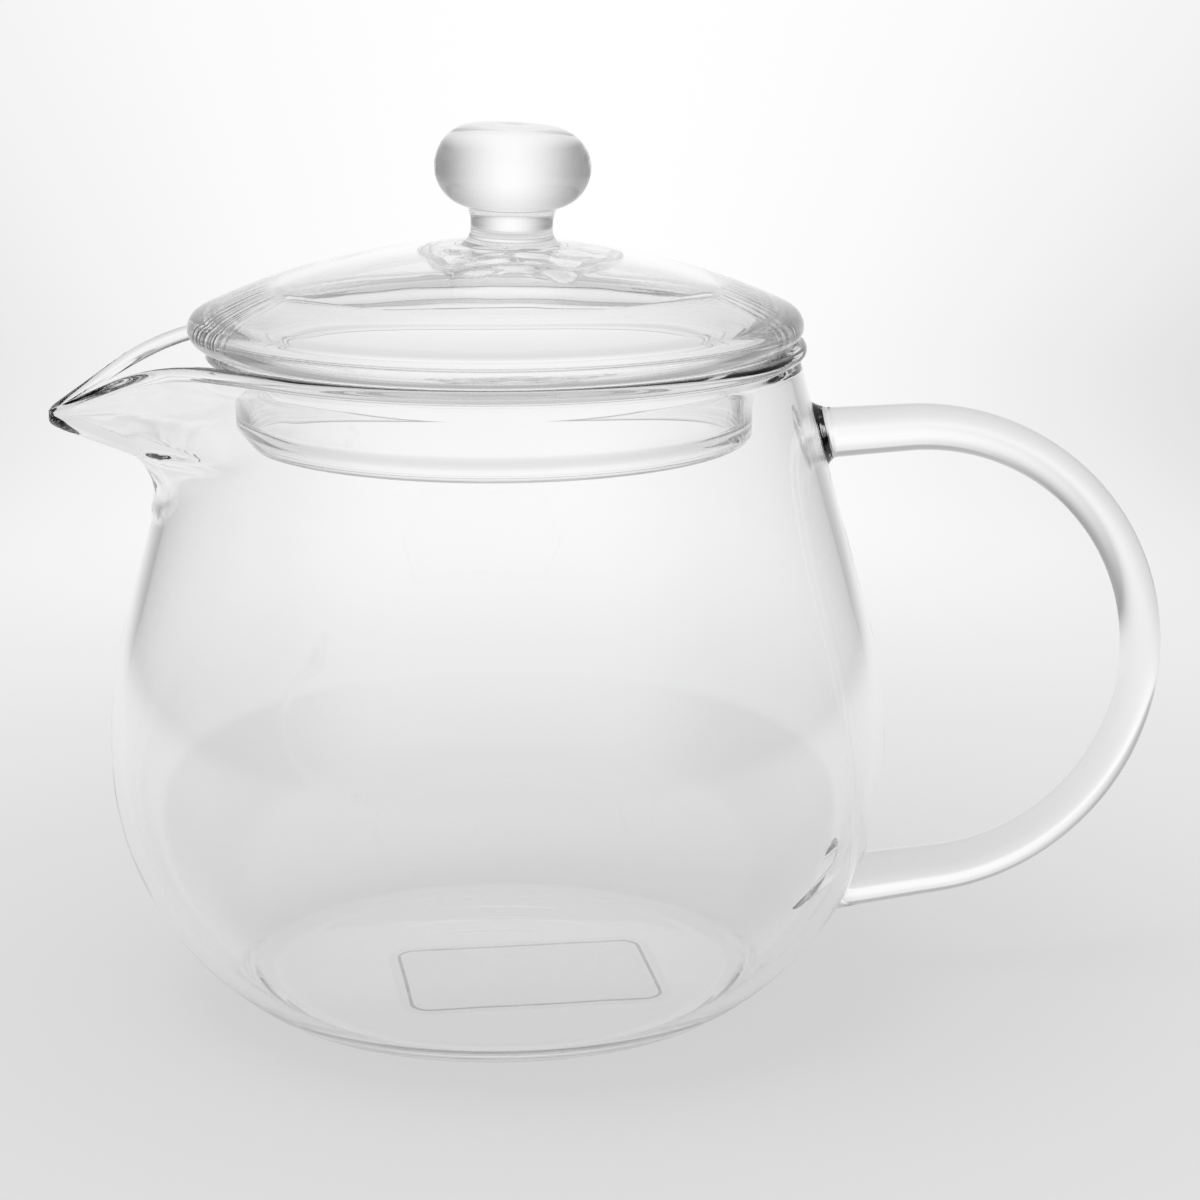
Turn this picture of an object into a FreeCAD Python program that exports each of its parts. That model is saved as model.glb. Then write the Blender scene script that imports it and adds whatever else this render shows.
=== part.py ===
"""Clear glass teapot for one or two cups, blown and lamp-worked in heat-proof glass.

Millimetres, +Z up. The origin is the middle of the foot, on the surface that the pot stands on.
The beak points along -X and the handle along +X, both in the plane y = 0.

Every driving size is a row of SIZES and a named cell of the sheet. A formula is text that uses those
names: it is bound to the feature that it drives, and worked out once for the starting sketch.
"""
import FreeCAD
import Part
import Sketcher
import math
import os
import re

# Driving sizes: millimetres, and degrees where the name ends in slope or turn
SIZES = {
    # Pot
    "belly_radius": 52.5,
    "belly_height": 34.5,
    "base_radius": 30.4,
    "heel_round": 8.0,
    "upper_curve": 68.0,
    "shoulder_slope": 15.5,
    "rim_height": 90.0,
    "rim_band": 3.5,
    "rim_flare": 0.6,
    "rim_wall": 2.1,
    "rim_round": 0.8,
    "pot_wall": 1.8,
    "floor_thickness": 2.2,
    "floor_round": 7.0,
    "foot_recess": 0.9,
    # Beak drawn out of the rim
    "spout_reach": 59.3,
    "spout_depth": 19.5,
    "spout_start": 0.5,
    "spout_blend": 4.5,
    "spout_throat": 6.2,
    "spout_slope": 18.0,
    "spout_tip_round": 2.6,
    "spout_lip": 2.2,
    "lip_start": 3.6,
    "lip_blend": 15.0,
    # Handle rod and the melted glass that joins it to the wall
    "root_drop": 13.4,
    "lower_root": 13.2,
    "bow_set": 4.7,
    "bow_rise": 1.1,
    "bow_ease": 0.4,
    "rod_upper": 6.8,
    "rod_middle": 5.6,
    "rod_lower": 7.3,
    "weld_flare": 1.1,
    "upper_weld_length": 2.4,
    "lower_weld_length": 3.4,
    # Lid
    "lid_inset": 0.4,
    "lid_edge": 2.1,
    "lid_dome": 93.0,
    "lid_wall": 1.8,
    "lid_clearance": 0.6,
    "plug_land": 1.6,
    "skirt_step": 4.5,
    "skirt_flare": 9.0,
    "skirt_depth": 13.0,
    # Knob and its weld
    "knob_radius": 10.35,
    "knob_side": 5.4,
    "knob_lift": 4.6,
    "knob_crown": 0.3,
    "stem_radius": 5.45,
    "stem_land": 2.8,
    "stem_flare": 0.6,
    "knob_shift": 2.1,
    "collar_width": 2.1,
    "collar_height": 2.0,
    # Clear film on the underside
    "film_length": 37.0,
    "film_width": 26.5,
    "film_corner": 2.5,
    "film_thickness": 0.15,
    "film_shift": 3.5,
    "film_turn": 4.0,
    "film_margin": 0.6,
}

# How far a cutter runs past what it cuts
CUT_OVER = 1.0
# How far the weld forms reach into the wall before the wall is cut out of them
WELD_ROOT = 9.0
# Turn that gives a placement its axis, in degrees: a formula then sets the angle
START_TURN = 1.0

doc = FreeCAD.newDocument("glass_teapot")
sheet = doc.addObject("Spreadsheet::Sheet", "Sizes")
for row, (size_name, size_value) in enumerate(SIZES.items(), start=1):
    sheet.set(f"A{row}", size_name.replace("_", " "))
    sheet.set(f"B{row}", str(size_value))
    sheet.setAlias(f"B{row}", size_name)
doc.recompute()


def bound(formula):
    """A formula with its size names pointed at the sheet's cells."""
    return re.sub(r"[a-z_]+", lambda word: f"Sizes.{word[0]}" if word[0] in SIZES else word[0], formula)


def value(formula):
    """What a formula is worth at the sheet's sizes."""
    result = sheet.evalExpression(bound(formula))
    return float(getattr(result, "Value", result))


# Pot profile: a belly of two arcs, a straight shoulder and a rim that flares a little
SLOPE = "(shoulder_slope * 1deg)"
BASE_STEP = "(belly_radius - base_radius)"
LOWER_CURVE = (f"(({BASE_STEP} ^ 2 + (belly_height - heel_round) ^ 2 - heel_round ^ 2)"
               f" / (2 * ({BASE_STEP} - heel_round)))")
LOWER_CENTRE = f"(belly_radius - {LOWER_CURVE})"
UPPER_CENTRE = "(belly_radius - upper_curve)"
SHOULDER_RADIUS = f"({UPPER_CENTRE} + upper_curve * cos({SLOPE}))"
SHOULDER_HEIGHT = f"(belly_height + upper_curve * sin({SLOPE}))"
NECK_HEIGHT = "(rim_height - rim_band)"
FLOOR_HEIGHT = "(foot_recess + floor_thickness)"


def cone_radius(height):
    """Outside radius of the straight shoulder at a height."""
    return f"({SHOULDER_RADIUS} - ({height} - {SHOULDER_HEIGHT}) * tan({SLOPE}))"


RIM_RADIUS = f"({cone_radius(NECK_HEIGHT)} + rim_flare)"
MOUTH_RADIUS = f"({RIM_RADIUS} - rim_wall)"
WALL_ACROSS = f"(pot_wall / cos({SLOPE}))"
FILM_REACH = "(sqrt(film_length ^ 2 + film_width ^ 2) / 2 - film_corner * (sqrt(2) - 1))"
RECESS_RADIUS = f"({FILM_REACH} + film_shift + film_margin)"

# Lid: a spherical dome that rolls round an edge tube and comes back as a plug and a skirt
EDGE_CENTRE = f"({RIM_RADIUS} - lid_inset - lid_edge)"
EDGE_HEIGHT = "(rim_height + lid_edge)"
DOME_CENTRE = f"({EDGE_HEIGHT} - sqrt((lid_dome - lid_edge) ^ 2 - {EDGE_CENTRE} ^ 2))"
DOME_TOP = f"({DOME_CENTRE} + lid_dome)"
PLUG_RADIUS = f"({MOUTH_RADIUS} - lid_clearance)"
SKIRT_RADIUS = f"({PLUG_RADIUS} - skirt_step)"
KNOB_LEAN = "asin(knob_shift / lid_dome)"

# Handle: a bow about a centre outside the belly, with straight leads that run to the wall
UPPER_ROOT = "(rim_height - root_drop)"
BOW_X = "(belly_radius + bow_set)"
BOW_Z = f"(({UPPER_ROOT} + lower_root) / 2 + bow_rise)"
BOW_RADIUS = f"(({UPPER_ROOT} - lower_root) / 2 - bow_ease)"
UPPER_ROOT_X = cone_radius(UPPER_ROOT)
LOWER_ROOT_X = f"({LOWER_CENTRE} + sqrt({LOWER_CURVE} ^ 2 - (belly_height - lower_root) ^ 2))"


def lead_angle(root_x, root_z, side):
    """Rise of the lead from a root on the wall that is tangent to the bow, above or below its centre."""
    across = f"({BOW_X} - {root_x})"
    along = f"({BOW_Z} - {root_z})"
    spread = f"asin({BOW_RADIUS} / sqrt({across} ^ 2 + {along} ^ 2))"
    return f"(atan2({along}; {across}) {side} {spread})"


UPPER_LEAD = lead_angle(UPPER_ROOT_X, UPPER_ROOT, "+")
LOWER_LEAD = lead_angle(LOWER_ROOT_X, "lower_root", "-")


def origin_plane(body, role):
    """One of a body's own origin planes."""
    return next(plane for plane in body.Origin.OriginFeatures if plane.Role == role)


def blank_sketch(body, name, role):
    """An empty sketch on one of a body's origin planes."""
    sketch = body.newObject("Sketcher::SketchObject", name)
    sketch.AttachmentSupport = [(origin_plane(body, role), "")]
    sketch.MapMode = "FlatFace"
    return sketch


def bind(sketch, constraint, label, formula):
    """Adds a sketch constraint and ties its size to a formula."""
    index = sketch.addConstraint(constraint)
    sketch.renameConstraint(index, label)
    sketch.setExpression(f"Constraints.{label}", bound(formula))


def pin(sketch, edge, end, label, place):
    """Holds one end of an edge at a place given by two formulas."""
    axes = (("DistanceX", -2), ("DistanceY", -1))
    for (kind, axis), formula, letter in zip(axes, place, "xy"):
        if formula == "0":
            sketch.addConstraint(Sketcher.Constraint("PointOnObject", edge, end, axis))
        else:
            rule = Sketcher.Constraint(kind, -1, 1, edge, end, value(formula))
            bind(sketch, rule, f"{label}{letter}", formula)


def arc_between(start, end, radius, turn):
    """The arc of under half a turn between two spots, always drawn anticlockwise.

    The turn is 1 where the outline runs along it anticlockwise, and -1 where it runs clockwise.
    """
    chord = end - start
    middle = (start + end) * 0.5
    rise = math.sqrt(max(radius ** 2 - (chord.Length / 2) ** 2, 0.0))
    across = FreeCAD.Vector(-chord.y, chord.x, 0).normalize()
    centre = middle + across * rise * turn
    bulge = centre - across * radius * turn
    return Part.Arc(start, bulge, end) if turn > 0 else Part.Arc(end, bulge, start)


def draw(sketch, places, closed=True):
    """Draws an outline. A place is (x, y), reached by a line, or (x, y, turn, radius), reached by an arc."""
    spots = [FreeCAD.Vector(value(place[0]), value(place[1]), 0) for place in places]
    goals = places[1:] + (places[:1] if closed else [])
    ends = []
    for edge, goal in enumerate(goals):
        start = spots[edge]
        end = spots[(edge + 1) % len(spots)]
        if len(goal) == 2:
            sketch.addGeometry(Part.LineSegment(start, end))
            ends.append((1, 2))
        else:
            sketch.addGeometry(arc_between(start, end, value(goal[3]), goal[2]))
            ends.append((1, 2) if goal[2] > 0 else (2, 1))
    for edge, goal in enumerate(goals):
        pin(sketch, edge, ends[edge][0], f"corner{edge}", places[edge][:2])
        if len(goal) == 4:
            rule = Sketcher.Constraint("Radius", edge, value(goal[3]))
            bind(sketch, rule, f"round{edge}", goal[3])
    links = range(len(goals) if closed else len(goals) - 1)
    for edge in links:
        follower = (edge + 1) % len(goals)
        sketch.addConstraint(
            Sketcher.Constraint("Coincident", edge, ends[edge][1], follower, ends[follower][0]))
    if not closed:
        pin(sketch, len(goals) - 1, ends[-1][1], f"corner{len(goals)}", places[-1][:2])
    return sketch


def draw_circle(sketch, radius, centre_x="0"):
    """Draws one circle with its centre on the sketch's own x axis."""
    middle = FreeCAD.Vector(value(centre_x), 0, 0)
    sketch.addGeometry(Part.Circle(middle, FreeCAD.Vector(0, 0, 1), value(radius)))
    pin(sketch, 0, 3, "centre", (centre_x, "0"))
    bind(sketch, Sketcher.Constraint("Radius", 0, value(radius)), "size", radius)
    return sketch


def turned(body, kind, name, places):
    """A Revolution or Groove of a closed outline about the Z axis."""
    sketch = draw(blank_sketch(body, f"{name}_outline", "XZ_Plane"), places)
    feature = body.newObject(f"PartDesign::{kind}", name)
    feature.Profile = sketch
    feature.ReferenceAxis = (sketch, ["V_Axis"])
    feature.Angle = 360
    doc.recompute()
    return feature


def new_body(label):
    """An empty body with the name of its piece."""
    body = doc.addObject("PartDesign::Body", label)
    body.Label = label
    return body


def beak_places(radius, reach, tip):
    """A round body and a small tip circle in plan, joined by the two straight lines that touch both."""
    centre = f"({reach} - {tip})"
    lean = f"(({radius} - {tip}) / {centre})"
    spread = f"sqrt(1 - {lean} ^ 2)"
    shoulder_x = f"-{radius} * {lean}"
    shoulder_y = f"{radius} * {spread}"
    tip_x = f"-{centre} - {tip} * {lean}"
    tip_y = f"{tip} * {spread}"
    return [
        (radius, "0", 1, radius),
        (shoulder_x, shoulder_y, 1, radius),
        (tip_x, tip_y),
        (tip_x, f"-{tip_y}", 1, tip),
        (shoulder_x, f"-{shoulder_y}"),
    ]


def round_places(radius):
    """A plain circle cut at five places, so that it can lead into a beak section."""
    side, front = "(12 * 1deg)", "(4 * 1deg)"
    return [
        (radius, "0", 1, radius),
        (f"-{radius} * cos{side}", f"{radius} * sin{side}", 1, radius),
        (f"-{radius} * cos{front}", f"{radius} * sin{front}", 1, radius),
        (f"-{radius} * cos{front}", f"-{radius} * sin{front}", 1, radius),
        (f"-{radius} * cos{side}", f"-{radius} * sin{side}", 1, radius),
    ]


SPOUT_ROOT = "(rim_height - spout_depth)"
JOIN_HEIGHT = f"({SPOUT_ROOT} - spout_blend)"
ROOT_REACH = f"({cone_radius(SPOUT_ROOT)} + spout_start)"
THROAT_TURN = "(90deg - spout_slope * 1deg)"


def throat_place(part, inset):
    """Reach and height of the beak's underside, part of the way round its throat, inset into the glass."""
    curve = f"(spout_throat + {inset})"
    reach = f"({ROOT_REACH} + spout_throat - {curve} * cos({part} * {THROAT_TURN}))"
    height = f"({SPOUT_ROOT} + {curve} * sin({part} * {THROAT_TURN}))"
    return reach, height


def tip_height(inset):
    """Height where the straight underside, inset into the glass, comes to the tip."""
    reach, height = throat_place("1", inset)
    return f"({height} + (spout_reach - {inset} - {reach}) * tan(spout_slope * 1deg))"


def beak_rows(inset, wall, tip):
    """Level sections of the beak's underside: a plain circle, the throat and the run out to the tip."""
    rows = [(JOIN_HEIGHT, round_places(f"({cone_radius(JOIN_HEIGHT)} - {wall})"))]
    throat_reach, throat_height = throat_place("1", inset)
    top = tip_height(inset)
    full = f"(spout_reach - {inset})"
    stations = [throat_place(part, inset) for part in ("0", "0.5", "1")]
    stations.append((f"(({throat_reach} + {full}) / 2)", f"(({throat_height} + {top}) / 2)"))
    stations.append((full, top))
    for reach, height in stations:
        rows.append((height, beak_places(f"({cone_radius(height)} - {wall})", reach, tip)))
    return rows


def rim_rows(inset, wall, rim_inset, tip):
    """Level sections from the tip up: the shoulder's last stretch, the neck and the flared rim."""
    full = f"(spout_reach - {inset})"
    top = tip_height(inset)
    rows = []
    for part in ("0", "0.3", "0.6", "0.85", "1"):
        height = f"({top} + {part} * ({NECK_HEIGHT} - {top}))"
        rows.append((height, beak_places(f"({cone_radius(height)} - {wall})", full, tip)))
    for height in ("(rim_height - rim_band / 3)", f"(rim_height + {CUT_OVER})"):
        rows.append((height, beak_places(f"({RIM_RADIUS} - {rim_inset})", full, tip)))
    return rows


def beak_loft(body, kind, name, rows):
    """A loft through level sections that turn from a plain circle into the beak."""
    sketches = []
    for number, (height, places) in enumerate(rows):
        sketch = blank_sketch(body, f"{name}_section{number}", "XY_Plane")
        sketch.setExpression(".AttachmentOffset.Base.z", bound(height))
        sketches.append(draw(sketch, places))
    doc.recompute()
    loft = body.newObject(f"PartDesign::{kind}", name)
    loft.Profile = sketches[0]
    loft.Sections = sketches[1:]
    doc.recompute()
    return loft


def make_pot_form():
    """The pot's outside as one solid. The pot is hollowed from it, and the welds are seated on it."""
    body = new_body("pot_form")
    turned(body, "Revolution", "bowl", [
        ("0", "foot_recess"),
        (RECESS_RADIUS, "foot_recess"),
        (RECESS_RADIUS, "0"),
        ("base_radius", "0"),
        (f"{LOWER_CENTRE} + {LOWER_CURVE} * (base_radius - {LOWER_CENTRE}) / ({LOWER_CURVE} - heel_round)",
         f"belly_height - {LOWER_CURVE} * (belly_height - heel_round) / ({LOWER_CURVE} - heel_round)",
         1, "heel_round"),
        ("belly_radius", "belly_height", 1, LOWER_CURVE),
        (SHOULDER_RADIUS, SHOULDER_HEIGHT, 1, "upper_curve"),
        (cone_radius(JOIN_HEIGHT), JOIN_HEIGHT),
        ("0", JOIN_HEIGHT),
    ])
    beak_loft(body, "AdditiveLoft", "beak", beak_rows("0", "0", "spout_tip_round"))
    beak_loft(body, "AdditiveLoft", "neck", rim_rows("0", "0", "0", "spout_tip_round"))
    return body


def make_pot_body(form):
    """Bowl, rim and beak, one piece of blown glass."""
    body = new_body("pot_body")
    body.BaseFeature = form
    doc.recompute()
    inner_curve = f"({LOWER_CURVE} - pot_wall)"
    inner_upper = "(upper_curve - pot_wall)"
    floor_drop = f"(belly_height - {FLOOR_HEIGHT} - floor_round)"
    floor_run = f"sqrt(({inner_curve} - floor_round) ^ 2 - {floor_drop} ^ 2)"
    floor_end = f"({LOWER_CENTRE} + {floor_run})"
    turned(body, "Groove", "hollow", [
        ("0", FLOOR_HEIGHT),
        (floor_end, FLOOR_HEIGHT),
        (f"{LOWER_CENTRE} + {inner_curve} * {floor_run} / ({inner_curve} - floor_round)",
         f"belly_height - {inner_curve} * {floor_drop} / ({inner_curve} - floor_round)",
         1, "floor_round"),
        ("belly_radius - pot_wall", "belly_height", 1, inner_curve),
        (f"{UPPER_CENTRE} + {inner_upper} * cos({SLOPE})",
         f"belly_height + {inner_upper} * sin({SLOPE})", 1, inner_upper),
        (f"{cone_radius(JOIN_HEIGHT)} - {WALL_ACROSS}", JOIN_HEIGHT),
        ("0", JOIN_HEIGHT),
    ])
    inner_tip = "(spout_tip_round - pot_wall)"
    beak_loft(body, "SubtractiveLoft", "channel", beak_rows("pot_wall", WALL_ACROSS, inner_tip))
    beak_loft(body, "SubtractiveLoft", "mouth", rim_rows("pot_wall", WALL_ACROSS, "rim_wall", inner_tip))
    cut_lip(body)
    round_rim(body)
    return body


def cut_lip(body):
    """Cuts the rim level, and down to the tip along the beak."""
    corner = f"({RIM_RADIUS} + lip_start)"
    tip_lip = f"({tip_height('0')} + spout_lip)"
    fall = f"atan2(rim_height - {tip_lip}; spout_reach - {corner})"
    tangent = f"(lip_blend * tan({fall} / 2))"
    past = f"(spout_reach + {CUT_OVER})"
    top = f"(rim_height + 2 * {CUT_OVER})"
    far = f"({RIM_RADIUS} + {CUT_OVER})"
    sketch = draw(blank_sketch(body, "lip_outline", "XZ_Plane"), [
        (far, "rim_height"),
        (far, top),
        (f"-{past}", top),
        (f"-{past}", f"{tip_lip} - {CUT_OVER} * tan({fall})"),
        (f"-{corner} - {tangent} * cos({fall})", f"rim_height - {tangent} * sin({fall})"),
        (f"-{corner} + {tangent}", "rim_height", -1, "lip_blend"),
    ])
    pocket = body.newObject("PartDesign::Pocket", "lip")
    pocket.Profile = sketch
    pocket.Type = "ThroughAll"
    pocket.Midplane = True
    doc.recompute()


def round_rim(body):
    """Rounds the inner and outer edges of the rim and the beak's lip."""
    shape = body.Shape
    lip_floor = value(tip_height("0"))
    lip_faces = [face for face in shape.Faces if is_lip(face, lip_floor)]
    chosen = []
    for number, edge in enumerate(shape.Edges, start=1):
        touching = sum(any(edge.isSame(side) for side in face.Edges) for face in lip_faces)
        if touching == 1:
            chosen.append(f"Edge{number}")
    trimmed = body.Tip
    fillet = body.newObject("PartDesign::Fillet", "rim_edge")
    fillet.Base = (trimmed, chosen)
    fillet.setExpression("Radius", bound("min(rim_round; 0.45 * pot_wall)"))
    doc.recompute()


def is_lip(face, lip_floor):
    """Whether a face is part of the cut top of the rim: above the tip, and facing up."""
    u_low, u_high, v_low, v_high = face.ParameterRange
    normal = face.normalAt((u_low + u_high) / 2, (v_low + v_high) / 2)
    return min(corner.Z for corner in face.Vertexes) > lip_floor and normal.z > 0.7


def make_weld(label, form, root, lead, rod, length):
    """A flared bead of melted glass from the rod's end to the wall, with the pot's outside cut out of it."""
    bead = new_body(f"{label}_form")
    rod_radius = f"({rod} / 2)"
    wide = f"({rod_radius} + weld_flare)"
    flare_curve = f"(({length} ^ 2 + weld_flare ^ 2) / weld_flare / 1.6)"
    turned(bead, "Revolution", f"{label}_bead", [
        ("0", f"-{WELD_ROOT}"),
        (wide, f"-{WELD_ROOT}"),
        (wide, "0"),
        (rod_radius, length, -1, flare_curve),
        ("0", length),
    ])
    bead.Placement.Rotation = FreeCAD.Rotation(FreeCAD.Vector(0, 1, 0), START_TURN)
    bead.setExpression("Placement.Base.x", bound(root[0]))
    bead.setExpression("Placement.Base.z", bound(root[1]))
    bead.setExpression("Placement.Rotation.Angle", bound(f"90deg - {lead}"))
    weld = doc.addObject("Part::Cut", label)
    weld.Label = label
    weld.Base = bead
    weld.Tool = form
    doc.recompute()
    return weld


def lead_end(root, lead, length):
    """Where the rod starts: past the weld, along the lead."""
    return f"({root[0]} + {length} * cos({lead}))", f"({root[1]} + {length} * sin({lead}))"


def rod_section(body, name, end, lead, rod):
    """The rod's round end, square to its lead."""
    sketch = blank_sketch(body, name, "YZ_Plane")
    sketch.AttachmentOffset = FreeCAD.Placement(
        FreeCAD.Vector(0, 0, 0), FreeCAD.Rotation(FreeCAD.Vector(1, 0, 0), START_TURN))
    sketch.setExpression(".AttachmentOffset.Base.y", bound(end[1]))
    sketch.setExpression(".AttachmentOffset.Base.z", bound(end[0]))
    sketch.setExpression(".AttachmentOffset.Rotation.Angle", bound(f"-{lead}"))
    return draw_circle(sketch, f"({rod} / 2)")


def make_handle(upper, lower):
    """A solid glass rod, drawn thinner in the middle, bent into a bow with two straight leads."""
    body = new_body("handle")
    upper_end = lead_end(upper, UPPER_LEAD, "upper_weld_length")
    lower_end = lead_end(lower, LOWER_LEAD, "lower_weld_length")
    path = draw(blank_sketch(body, "bow_path", "XZ_Plane"), [
        upper_end,
        (f"{BOW_X} - {BOW_RADIUS} * sin({UPPER_LEAD})", f"{BOW_Z} + {BOW_RADIUS} * cos({UPPER_LEAD})"),
        (f"{BOW_X} + {BOW_RADIUS}", BOW_Z, -1, BOW_RADIUS),
        (f"{BOW_X} + {BOW_RADIUS} * sin({LOWER_LEAD})", f"{BOW_Z} - {BOW_RADIUS} * cos({LOWER_LEAD})",
         -1, BOW_RADIUS),
        lower_end,
    ], closed=False)
    start = rod_section(body, "upper_section", upper_end, UPPER_LEAD, "rod_upper")
    middle = blank_sketch(body, "middle_section", "XY_Plane")
    middle.setExpression(".AttachmentOffset.Base.z", bound(BOW_Z))
    draw_circle(middle, "(rod_middle / 2)", f"({BOW_X} + {BOW_RADIUS})")
    end = rod_section(body, "lower_section", lower_end, LOWER_LEAD, "rod_lower")
    doc.recompute()
    rod = body.newObject("PartDesign::AdditivePipe", "rod")
    rod.Profile = start
    rod.Spine = (path, [])
    rod.Transformation = "Multisection"
    rod.Sections = [middle, end]
    doc.recompute()
    return body


def make_lid():
    """A hollow lid: dome, rolled edge, plug that drops into the mouth, and skirt, one blown shell."""
    body = new_body("lid_shell")
    inner_dome = "(lid_dome - lid_wall)"
    inner_edge = "(lid_edge - lid_wall)"
    inner_plug = f"({PLUG_RADIUS} - lid_wall)"
    inner_skirt = f"({SKIRT_RADIUS} - lid_wall)"
    land_bottom = "(rim_height - plug_land)"
    flare_run = "sqrt(skirt_flare ^ 2 - (skirt_flare - skirt_step) ^ 2)"
    skirt_top = f"({land_bottom} - {flare_run})"
    inner_flare = "(skirt_flare + lid_wall)"
    inner_run = f"sqrt({inner_flare} ^ 2 - (skirt_flare + lid_wall - skirt_step) ^ 2)"
    skirt_end = "(rim_height - skirt_depth)"
    lip = "(lid_wall / 2)"
    outer_lean = f"({EDGE_CENTRE} / (lid_dome - lid_edge))"
    outer_rise = f"(({EDGE_HEIGHT} - {DOME_CENTRE}) / (lid_dome - lid_edge))"
    turned(body, "Revolution", "lid_blown", [
        ("0", f"{DOME_CENTRE} + {inner_dome}"),
        (f"{inner_dome} * {outer_lean}", f"{DOME_CENTRE} + {inner_dome} * {outer_rise}", -1, inner_dome),
        (EDGE_CENTRE, f"{EDGE_HEIGHT} - {inner_edge}", -1, inner_edge),
        (inner_plug, f"{EDGE_HEIGHT} - {inner_edge}"),
        (inner_plug, f"{skirt_top} + {inner_run}"),
        (inner_skirt, skirt_top, 1, inner_flare),
        (inner_skirt, f"{skirt_end} + {lip}"),
        (f"{inner_skirt} + {lip}", skirt_end, 1, lip),
        (SKIRT_RADIUS, f"{skirt_end} + {lip}", 1, lip),
        (SKIRT_RADIUS, skirt_top),
        (PLUG_RADIUS, land_bottom, -1, "skirt_flare"),
        (PLUG_RADIUS, "rim_height"),
        (EDGE_CENTRE, "rim_height"),
        (f"{EDGE_CENTRE} + lid_edge", EDGE_HEIGHT, 1, "lid_edge"),
        (f"lid_dome * {outer_lean}", f"{DOME_CENTRE} + lid_dome * {outer_rise}", 1, "lid_edge"),
        ("0", DOME_TOP, 1, "lid_dome"),
    ])
    return body


def dome_height(radius):
    """Height of the dome's outside at a distance from the lid's middle."""
    return f"({DOME_CENTRE} + sqrt(lid_dome ^ 2 - {radius} ^ 2))"


def set_on_dome(body):
    """Turns a piece about the dome's centre, so that it sits a little off the lid's middle and still seats."""
    body.Placement.Rotation = FreeCAD.Rotation(FreeCAD.Vector(0, 1, 0), START_TURN)
    body.setExpression("Placement.Base.x", bound(f"-{DOME_CENTRE} * sin({KNOB_LEAN})"))
    body.setExpression("Placement.Base.z", bound(f"{DOME_CENTRE} * (1 - cos({KNOB_LEAN}))"))
    body.setExpression("Placement.Rotation.Angle", bound(KNOB_LEAN))
    doc.recompute()


def make_knob():
    """A solid stem and a flattened ball, seated on the dome."""
    body = new_body("knob")
    foot = dome_height("stem_radius")
    side_centre = "(knob_radius - knob_side)"
    side_height = f"({DOME_TOP} + knob_lift + knob_side)"
    neck = "(stem_radius + stem_flare)"
    neck_drop = f"sqrt(knob_side ^ 2 - ({neck} - {side_centre}) ^ 2)"
    ball_bottom = f"({side_height} - {neck_drop})"
    land_top = f"({foot} + stem_land)"
    waist = f"((({ball_bottom} - {land_top}) ^ 2 + stem_flare ^ 2) / (2 * stem_flare))"
    turned(body, "Revolution", "knob_solid", [
        ("0", DOME_TOP),
        ("stem_radius", foot, -1, "lid_dome"),
        ("stem_radius", land_top),
        (neck, ball_bottom, -1, waist),
        ("knob_radius", side_height, 1, "knob_side"),
        (side_centre, f"{side_height} + knob_side", 1, "knob_side"),
        ("0", f"{side_height} + knob_side + knob_crown", 1,
         f"(({side_centre} ^ 2 + knob_crown ^ 2) / (2 * knob_crown))"),
    ])
    set_on_dome(body)
    return body


def make_knob_weld():
    """The ring of melted glass round the foot of the stem."""
    body = new_body("knob_weld")
    foot = dome_height("stem_radius")
    edge = "(stem_radius + collar_width)"
    edge_height = dome_height(edge)
    hollow = "(collar_width + collar_height)"
    turned(body, "Revolution", "collar", [
        ("stem_radius", foot),
        (edge, edge_height, -1, "lid_dome"),
        ("stem_radius", f"{foot} + collar_height", -1, hollow),
    ])
    set_on_dome(body)
    return body


def make_film():
    """A blank clear film on the recessed underside, lying a little off the middle and a little turned."""
    body = new_body("base_film")
    half_x = "film_length / 2"
    half_y = "film_width / 2"
    sketch = draw(blank_sketch(body, "film_outline", "XY_Plane"), [
        (f"{half_x} - film_corner", f"-{half_y}"),
        (half_x, f"-{half_y} + film_corner", 1, "film_corner"),
        (half_x, f"{half_y} - film_corner"),
        (f"{half_x} - film_corner", half_y, 1, "film_corner"),
        (f"-{half_x} + film_corner", half_y),
        (f"-{half_x}", f"{half_y} - film_corner", 1, "film_corner"),
        (f"-{half_x}", f"-{half_y} + film_corner"),
        (f"-{half_x} + film_corner", f"-{half_y}", 1, "film_corner"),
    ])
    film = body.newObject("PartDesign::Pad", "film")
    film.Profile = sketch
    film.setExpression("Length", bound("film_thickness"))
    body.Placement.Rotation = FreeCAD.Rotation(FreeCAD.Vector(0, 0, 1), START_TURN)
    body.setExpression("Placement.Base.x", bound("film_shift"))
    body.setExpression("Placement.Base.z", bound("foot_recess - film_thickness"))
    body.setExpression("Placement.Rotation.Angle", bound("film_turn * 1deg"))
    doc.recompute()
    return body


def check_document():
    """Stops if any object of the document failed to rebuild."""
    for item in doc.Objects:
        failed = [state for state in item.State if state in ("Invalid", "Error")]
        if failed:
            raise RuntimeError(f"{item.Label} failed to rebuild: {failed}")


def check_piece(piece):
    """Stops if a piece isn't one sound solid."""
    shape = piece.Shape
    if shape.isNull() or not shape.isValid() or len(shape.Solids) != 1:
        raise RuntimeError(f"{piece.Label} is not one valid solid")


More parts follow.
